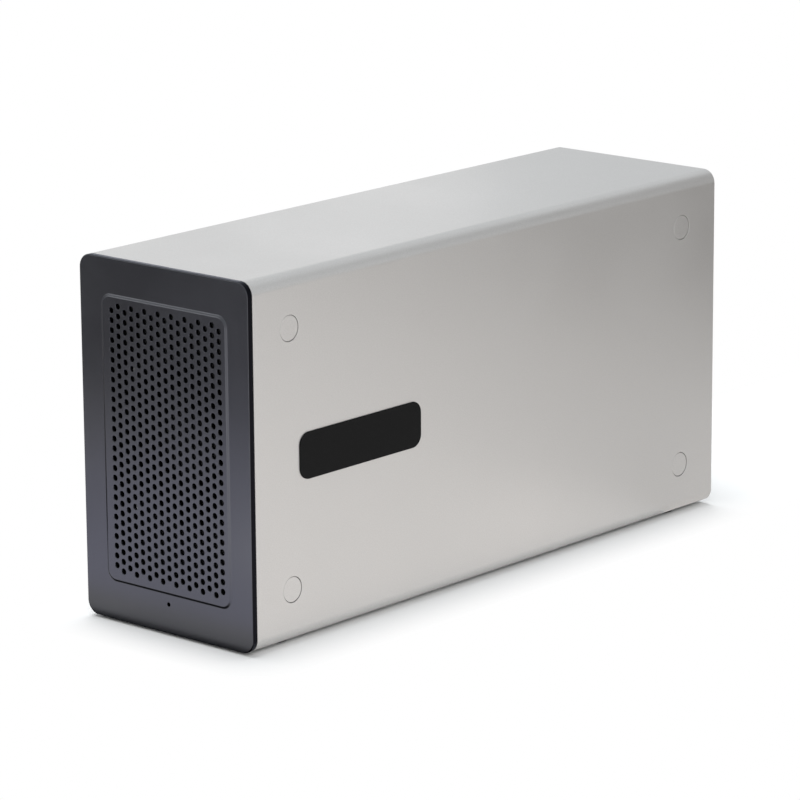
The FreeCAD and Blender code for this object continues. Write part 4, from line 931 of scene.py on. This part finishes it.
# board parts: leads, terminals, small chips and their caps
leads = {
    "width": 0.4 * mm, "reach": 0.9 * mm, "rise": 0.45 * mm, "foil": 0.12 * mm, "flat": 0.55,
    "sunk": 0.05 * mm, "count": 4, "pitch": 1.27 * mm}
strap = {"size": (0.2 * mm, 1.6 * mm, 2.6 * mm), "rim": 0.05 * mm}
logicChip = {
    "size": (4.0 * mm, 5.0 * mm, 1.5 * mm), "lift": 0.1 * mm, "rim": 0.1 * mm,
    "dot": 0.35 * mm, "dotDepth": 0.08 * mm, "dotPlace": (-1.3 * mm, 1.8 * mm),
    "places": (  # x and y on the board
        (-6.0 * mm, 90.0 * mm), (13.5 * mm, -52.0 * mm), (13.5 * mm, 84.0 * mm), (-12.0 * mm, 30.0 * mm))}
smallPart = {
    "size": (0.8 * mm, 1.6 * mm, 0.55 * mm), "cap": 0.32 * mm, "skin": 0.03 * mm, "rim": 0.05 * mm,
    "besideSlot": 2.2 * mm, "alongSlot": (14.0 * mm, 9, 8.0 * mm), "rows": (  # x, first y, how many, step
        (-28.0 * mm, -60.0 * mm, 6, 6.0 * mm), (-10.0 * mm, -14.0 * mm, 4, 5.0 * mm),
        (-14.0 * mm, 66.0 * mm, 6, 5.5 * mm))}
headerPin = {
    "half": 0.3 * mm, "count": 4, "pitch": 2.0 * mm, "foot": 0.7 * mm, "drop": 1.2 * mm, "rim": 0.12 * mm}


def leadRows(left, right, y, z):  # bent legs along both sides of a flat chip
    half, top = leads["width"] / 2, z + leads["rise"]
    start = y - (leads["count"] - 1) * leads["pitch"] / 2
    flat = leads["reach"] * leads["flat"]
    bends = (leads["foil"], leads["foil"] - leads["rise"]), (leads["reach"] - flat, 0)
    rows = []
    for x, side in ((right - leads["sunk"], 1), (left + leads["sunk"], -1)):
        leg = addBlock("leg", (x, start - half, top - leads["foil"]), (x + side * flat, start + half, top))
        pickFaces(leg, lambda centre, normal: normal.x * side > 0.9)
        for out, up in bends:  # down to the board, then flat along it
            bpy.ops.mesh.extrude_region_move(TRANSFORM_OT_translate={"value": (side * out, 0, up)})
        endEdit()
        rows.append(repeat(leg, leads["count"], (0, leads["pitch"], 0)))
    return rows


def makeChipLegs():
    legs = []
    for low, high in solidBoxes("regulator_chips"):
        legs += leadRows(low.x, high.x, (low.y + high.y) / 2, low.z)
    thick, half, tall = strap["size"]
    for low, high in solidBoxes("power_inductors"):
        y = (low.y + high.y) / 2
        for x in (high.x, low.x - thick):
            legs.append(addBlock("strap", (x, y - half, low.z), (x + thick, y + half, low.z + tall)))
            roundRims(legs[-1], strap["rim"], 1)
    return legs


def makeLogicChips(legs):
    bodies = []
    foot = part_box("carrier_board")[1].z
    width, length, height = logicChip["size"]
    top = foot + height
    for x, y in logicChip["places"]:
        left, right = x - width / 2, x + width / 2
        body = addBlock(
            "logicBody", (left, y - length / 2, foot + logicChip["lift"]), (right, y + length / 2, top))
        roundRims(body, logicChip["rim"], 2)
        dotX, dotY = logicChip["dotPlace"]
        carve(body, addRound(
            "dotCutter", logicChip["dot"], top - logicChip["dotDepth"], top + mm, "z",
            (x + dotX, y + dotY), 20))
        bodies.append(body)
        legs += leadRows(left, right, y, foot)
    fitOut(joinAll(bodies, "logicChips"), chipBlack, "tray", "chip_black")
    fitOut(joinAll(legs, "chipLegs"), portMetal, "tray", "port_metal")


def makeSmallParts():
    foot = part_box("carrier_board")[1].z
    width, length, height = smallPart["size"]
    skin, top = smallPart["skin"], foot + height
    fromEnd, slotCount, slotStep = smallPart["alongSlot"]
    rows = []
    for node in ("card_slot_1", "card_slot_2"):
        low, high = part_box(node)
        for x in (low.x - smallPart["besideSlot"], high.x + smallPart["besideSlot"]):
            rows.append((x, low.y + fromEnd, slotCount, slotStep))
    bodies, ends = [], []
    for x, y, count, step in rows + list(smallPart["rows"]):
        left, right = x - width / 2, x + width / 2
        body = addBlock("smallBody", (left, y - length / 2, foot), (right, y + length / 2, top))
        roundRims(body, smallPart["rim"], 1)
        bodies.append(repeat(body, count, (0, step, 0)))
        for side in (1, -1):
            edge = y + side * length / 2
            end = addBlock(
                "smallEnd", (left - skin, edge - side * smallPart["cap"], foot),
                (right + skin, edge + side * skin, top + skin))
            roundRims(end, smallPart["rim"], 1)
            ends.append(repeat(end, count, (0, step, 0)))
    fitOut(joinAll(bodies, "smallBodies"), ceramicTan, "tray", "chip_black")
    fitOut(joinAll(ends, "smallEnds"), portMetal, "tray", "port_metal")


def makeHeaderPins():
    low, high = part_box("fan_header")
    mid, half = (low + high) / 2, headerPin["half"]
    start, top = mid.y - (headerPin["count"] - 1) / 2 * headerPin["pitch"], high.z - headerPin["drop"]
    pin = addBlock(
        "headerPin", (mid.x - half, start - half, low.z + headerPin["foot"]),
        (mid.x + half, start + half, top))
    bevelEdges(pin, headerPin["rim"], 1, atLevel(2, top))
    fitOut(repeat(pin, headerPin["count"], (0, headerPin["pitch"], 0)), contactGold, "tray", "insert_brass")


makeCapacitors()
makeLogicChips(makeChipLegs())
makeSmallParts()
makeHeaderPins()
print("stage: board parts")


# push pins: a split dome on the heatsink
pushPin = {
    "shank": 1.5 * mm, "neck": 2.5 * mm, "slot": 0.35 * mm, "slotDepth": 1.0 * mm,
    "dome": ((1.0, 1.2 * mm), (0.9, 0.5 * mm), (0.6, 0.0))}


def makePushPins():
    boxes = solidBoxes("heatsink_pins")
    low, high = boxes[0]
    spot = (low + high) / 2
    spot.x = 0
    radius = (high.y - low.y) / 2
    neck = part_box("controller_heatsink")[0].x + pushPin["neck"]
    dome = [(radius * share, high.x - back) for share, back in pushPin["dome"]]
    pin = turned("pushPin", spot, "x", [
        (pushPin["shank"], low.x), (pushPin["shank"], neck), (radius, neck)] + dome, 28)
    carve(pin, addBlock(
        "slitCutter", (high.x - pushPin["slotDepth"], spot.y - radius * 2, spot.z - pushPin["slot"]),
        (high.x + mm, spot.y + radius * 2, spot.z + pushPin["slot"])))
    smoothShade(pin, 40)
    others = [copyMoved(pin, corners[0] - low, "pushPin") for corners in boxes[1:]]
    fitOut(joinAll([pin] + others, "pushPins"), pinPlastic, "tray", "pin_plastic", "heatsink_pins")


# glides: low strips with eased ends
glide = {"end": 4.0 * mm, "endSteps": 6, "rim": 0.15 * mm, "rimSteps": 2}


def makeGlides():
    strips = []
    for low, high in solidBoxes("tray_glides"):
        strip = addBlock("glide", low, high)
        bevelEdges(strip, glide["end"], glide["endSteps"], alongAxis(2))
        bevelEdges(strip, glide["rim"], glide["rimSteps"], atLevel(2, low.z))
        smoothShade(strip)
        strips.append(strip)
    fitOut(joinAll(strips, "glideStrips"), glidePlastic, "tray", "glide_plastic", "tray_glides")


# latches: ridges on the thumb pads
ridge = {
    "radius": 0.28 * mm, "half": 1.5 * mm, "rim": 0.1 * mm, "count": 3, "pitch": 1.5 * mm,
    "fromTip": 1.5 * mm, "padTop": 8.4 * mm}
ridgeSets = (("slot_latch_1", "latch_1", "latchRidges1"), ("slot_latch_2", "latch_2", "latchRidges2"))


def makeRidges():
    for node, body, name in ridgeSets:
        low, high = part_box(node)
        x = (low.x + high.x) / 2
        bar = addRound(
            "ridge", ridge["radius"], x - ridge["half"], x + ridge["half"], "x",
            (low.y + ridge["fromTip"], low.z + ridge["padTop"]), 16)
        bevelEdges(bar, ridge["rim"], 2, lambda a, b: abs(a.x - b.x) < near)
        repeat(bar, ridge["count"], (0, ridge["pitch"], 0))
        smoothShade(bar, 40)
        rename(bar, name)
        fitOut(bar, latchPlastic, body, "latch_plastic")


# fan: a blank foil disc on the motor plate
fanFoil = {"radius": 10.8 * mm, "rise": 0.12 * mm, "rim": 0.05 * mm}


def makeFanFoil():
    low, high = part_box("fan_frame")
    mid, face = (low + high) / 2, high.y + fanFoil["rise"]
    foil = addRound("fanFoil", fanFoil["radius"], high.y, face, "y", (mid.x, mid.z), 56)
    bevelEdges(foil, fanFoil["rim"], 1, atLevel(1, face))
    smoothShade(foil)
    fitOut(foil, foilSilver, "tray", "stator_metal")


makePushPins()
makeGlides()
makeRidges()
makeFanFoil()
print("stage: fan, latches and fittings")


# studio: pale floor, white surround, cards that only gloss sees, which paint highlights and darker
# surroundings into the reflections
studio = {
    "floorColour": (0.93, 0.93, 0.93), "floorGlow": (1.0, 0.975, 0.955), "floorSize": 12.0,
    "floorRoughness": 0.9, "floorSpecular": 0.1,
    "footing": (0.04, 0.25), "footingMiddle": 0.12, "fade": 0.022,  # past it the floor turns to white
    "skyLight": 0.62, "skyGloss": 0.78, "skyTint": (0.94, 0.975, 1.0)}


def rayMask(tree):  # 1 for what the camera sees, directly, in gloss or through glass
    path = tree.nodes.new("ShaderNodeLightPath").outputs
    seen = mathNode(tree, "MAXIMUM", path["Is Camera Ray"], path["Is Glossy Ray"])
    return mathNode(tree, "MAXIMUM", seen, path["Is Transmission Ray"])


def cameraTint(tree, tint):  # white straight to the camera, tinted on every other way
    path = tree.nodes.new("ShaderNodeLightPath").outputs
    return mixColours(tree, path["Is Camera Ray"], tint, (1.0, 1.0, 1.0))


def makeStudio():
    clearSelection()
    bpy.ops.mesh.primitive_plane_add(size=studio["floorSize"], location=(0, 0, 0))
    floor = bpy.context.object
    floor.name = "studioFloor"
    material = bpy.data.materials.new("paleFloor")
    material.use_nodes = True
    tree = material.node_tree
    shader = tree.nodes["Principled BSDF"]
    shader.inputs["Base Color"].default_value = (*studio["floorColour"], 1)
    shader.inputs["Roughness"].default_value = studio["floorRoughness"]
    shader.inputs["Specular IOR Level"].default_value = studio["floorSpecular"]
    spot = tree.nodes.new("ShaderNodeTexCoord").outputs["Object"]
    side = vectorNode(tree, "ABSOLUTE", vectorNode(tree, "SUBTRACT", spot, (0, studio["footingMiddle"], 0)))
    past = vectorNode(tree, "MAXIMUM", vectorNode(tree, "SUBTRACT", side, (*studio["footing"], 0)), (0, 0, 0))
    away = rangeNode(tree, vectorNode(tree, "LENGTH", past), 0.0, studio["fade"])
    glow = tree.nodes.new("ShaderNodeEmission")
    tree.links.new(cameraTint(tree, studio["floorGlow"]), glow.inputs["Color"])
    mix = tree.nodes.new("ShaderNodeMixShader")
    tree.links.new(mathNode(tree, "MULTIPLY", rayMask(tree), away), mix.inputs[0])
    tree.links.new(shader.outputs[0], mix.inputs[1])
    tree.links.new(glow.outputs[0], mix.inputs[2])
    tree.links.new(mix.outputs[0], tree.nodes["Material Output"].inputs["Surface"])
    floor.data.materials.append(material)
    world = bpy.data.worlds.new("studioWorld")
    bpy.context.scene.world = world
    world.use_nodes = True
    sky = world.node_tree
    backdrop = sky.nodes["Background"]
    sky.links.new(cameraTint(sky, studio["skyTint"]), backdrop.inputs["Color"])
    path = sky.nodes.new("ShaderNodeLightPath").outputs
    lit = rangeNode(sky, path["Is Glossy Ray"], 0.0, 1.0, studio["skyLight"], studio["skyGloss"])
    seen = mathNode(sky, "MAXIMUM", path["Is Camera Ray"], path["Is Transmission Ray"])
    sky.links.new(mathNode(sky, "MAXIMUM", lit, seen), backdrop.inputs["Strength"])


cards = (  # name, place, what it faces (None is straight up), size, tone
    ("frontCard", (-0.50, -0.84, 0.003), None, (0.8, 1.0), (0.03, 0.03, 0.033)),
    ("nearCard", (-0.06, -0.24, 0.002), None, (0.26, 0.18), (1.17, 1.16, 1.37)),
    ("rightCard", (0.03, -0.45, 0.004), None, (0.16, 0.5), (1.9, 1.9, 2.0)),
    ("leftFloorCard", (-0.27, -0.15, 0.004), None, (0.30, 0.09), (0.12, 0.12, 0.12)),
    # painted shadow: a dark strip on the floor just before the plate, darkening the reflected foot of the
    # plate
    ("paintedFootShadowCard", (-0.01, -0.1315, 0.0004), None, (0.11, 0.009), (0.01, 0.01, 0.01)),
    ("leftCard", (-0.641, -0.835, 0.424), (0, -0.13, 0.118), (0.4, 0.22), (3.6, 3.6, 3.6)),
    ("aboveCard", (-0.85, -0.13, 1.1), (0, -0.13, 0.13), (0.9, 0.45), (0.05, 0.05, 0.05)),
    ("rearCard", (0.55, 0.72, 0.003), None, (0.9, 0.8), (0.195, 0.184, 0.173)),
    # painted shade: a greyer patch of floor right of and behind the body, seen in the lower rear of the side
    ("paintedRearShadeCard", (0.13, 0.23, 0.002), None, (0.2, 0.26), (0.74, 0.726, 0.713)),
    ("topCard", (-0.42, 0.20, 0.29), (0.0, -0.13, 0.131), (0.45, 0.35), (1.02, 1.035, 1.05)),
    ("bendCard", (0.26, 0.50, 0.32), (0.26, 0.0, 0.32), (0.36, 0.5), (0.36, 0.355, 0.35)))


def addCard(name, place, aim, size, colour):  # a flat glowing card, seen only in reflections: a painted highlight when bright, a painted darker surround when dark
    clearSelection()
    bpy.ops.mesh.primitive_plane_add(size=1, location=place)
    card = bpy.context.object
    card.name = name
    card.scale = (size[0], size[1], 1)
    facing = Vector(aim) - Vector(place) if aim else Vector((0, 0, 1))
    card.rotation_euler = facing.to_track_quat("Z", "Y").to_euler()
    material = bpy.data.materials.new(name + "Paint")
    material.use_nodes = True
    tree = material.node_tree
    tone = tree.nodes.new("ShaderNodeEmission")
    tone.inputs["Color"].default_value = (*colour, 1)
    tree.links.new(tone.outputs[0], tree.nodes["Material Output"].inputs["Surface"])
    card.data.materials.append(material)
    card.visible_camera = False
    card.visible_diffuse = False
    card.visible_shadow = False
    card.visible_transmission = False


lamps = (  # name, place, what it faces, size, power, colour
    ("keyLamp", (-0.35, 0.15, 1.65), (0, 0, 0.06), (1.2, 1.2), 20.0, (0.97, 0.99, 1.0)),
    ("sideLamp", (1.0, -0.9, 0.8), (0, 0, 0.06), (0.7, 0.7), 6.0, (1.0, 0.97, 0.93)))


def addLamp(name, place, aim, size, power, colour):
    clearSelection()
    bpy.ops.object.light_add(type="AREA", location=place)
    lamp = bpy.context.object
    lamp.name = name
    lamp.data.shape = "RECTANGLE"
    lamp.data.size, lamp.data.size_y = size
    lamp.data.energy = power
    lamp.data.color = colour
    lamp.visible_glossy = False  # the cards and the sky make the reflections
    lamp.rotation_euler = (Vector(aim) - Vector(place)).to_track_quat("-Z", "Y").to_euler()


photoCamera = {
    "azimuth": 41.379, "elevation": 14.053, "roll": -0.418, "distance": 1.5386,
    "lens": 188.94, "sensor": 36.0, "clip": (0.01, 100.0),
    "aim": (-0.003417, 0.123989, 0.059807)}  # counted from the front plate


def makeCamera():
    turn, rise, roll = (math.radians(photoCamera[key]) for key in ("azimuth", "elevation", "roll"))
    back = Vector((math.sin(turn) * math.cos(rise), -math.cos(turn) * math.cos(rise), math.sin(rise)))
    right = Vector((math.cos(turn), math.sin(turn), 0))
    up = back.cross(right)
    rolledRight = math.cos(roll) * right + math.sin(roll) * up
    rolledUp = math.cos(roll) * up - math.sin(roll) * right
    aim = Vector(photoCamera["aim"]) + Vector((0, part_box("front_plate")[1].y, 0))
    spot = aim + back * photoCamera["distance"]
    clearSelection()
    bpy.ops.object.camera_add(location=spot)
    camera = bpy.context.object
    camera.rotation_euler = Matrix((rolledRight, rolledUp, back)).transposed().to_euler()
    camera.data.lens = photoCamera["lens"]
    camera.data.sensor_width = photoCamera["sensor"]
    camera.data.clip_start, camera.data.clip_end = photoCamera["clip"]
    bpy.context.scene.camera = camera


makeStudio()
for lamp in lamps:
    addLamp(*lamp)
for card in cards:
    addCard(*card)
makeCamera()
bpy.context.scene.view_settings.view_transform = "Standard"
print("stage: studio")
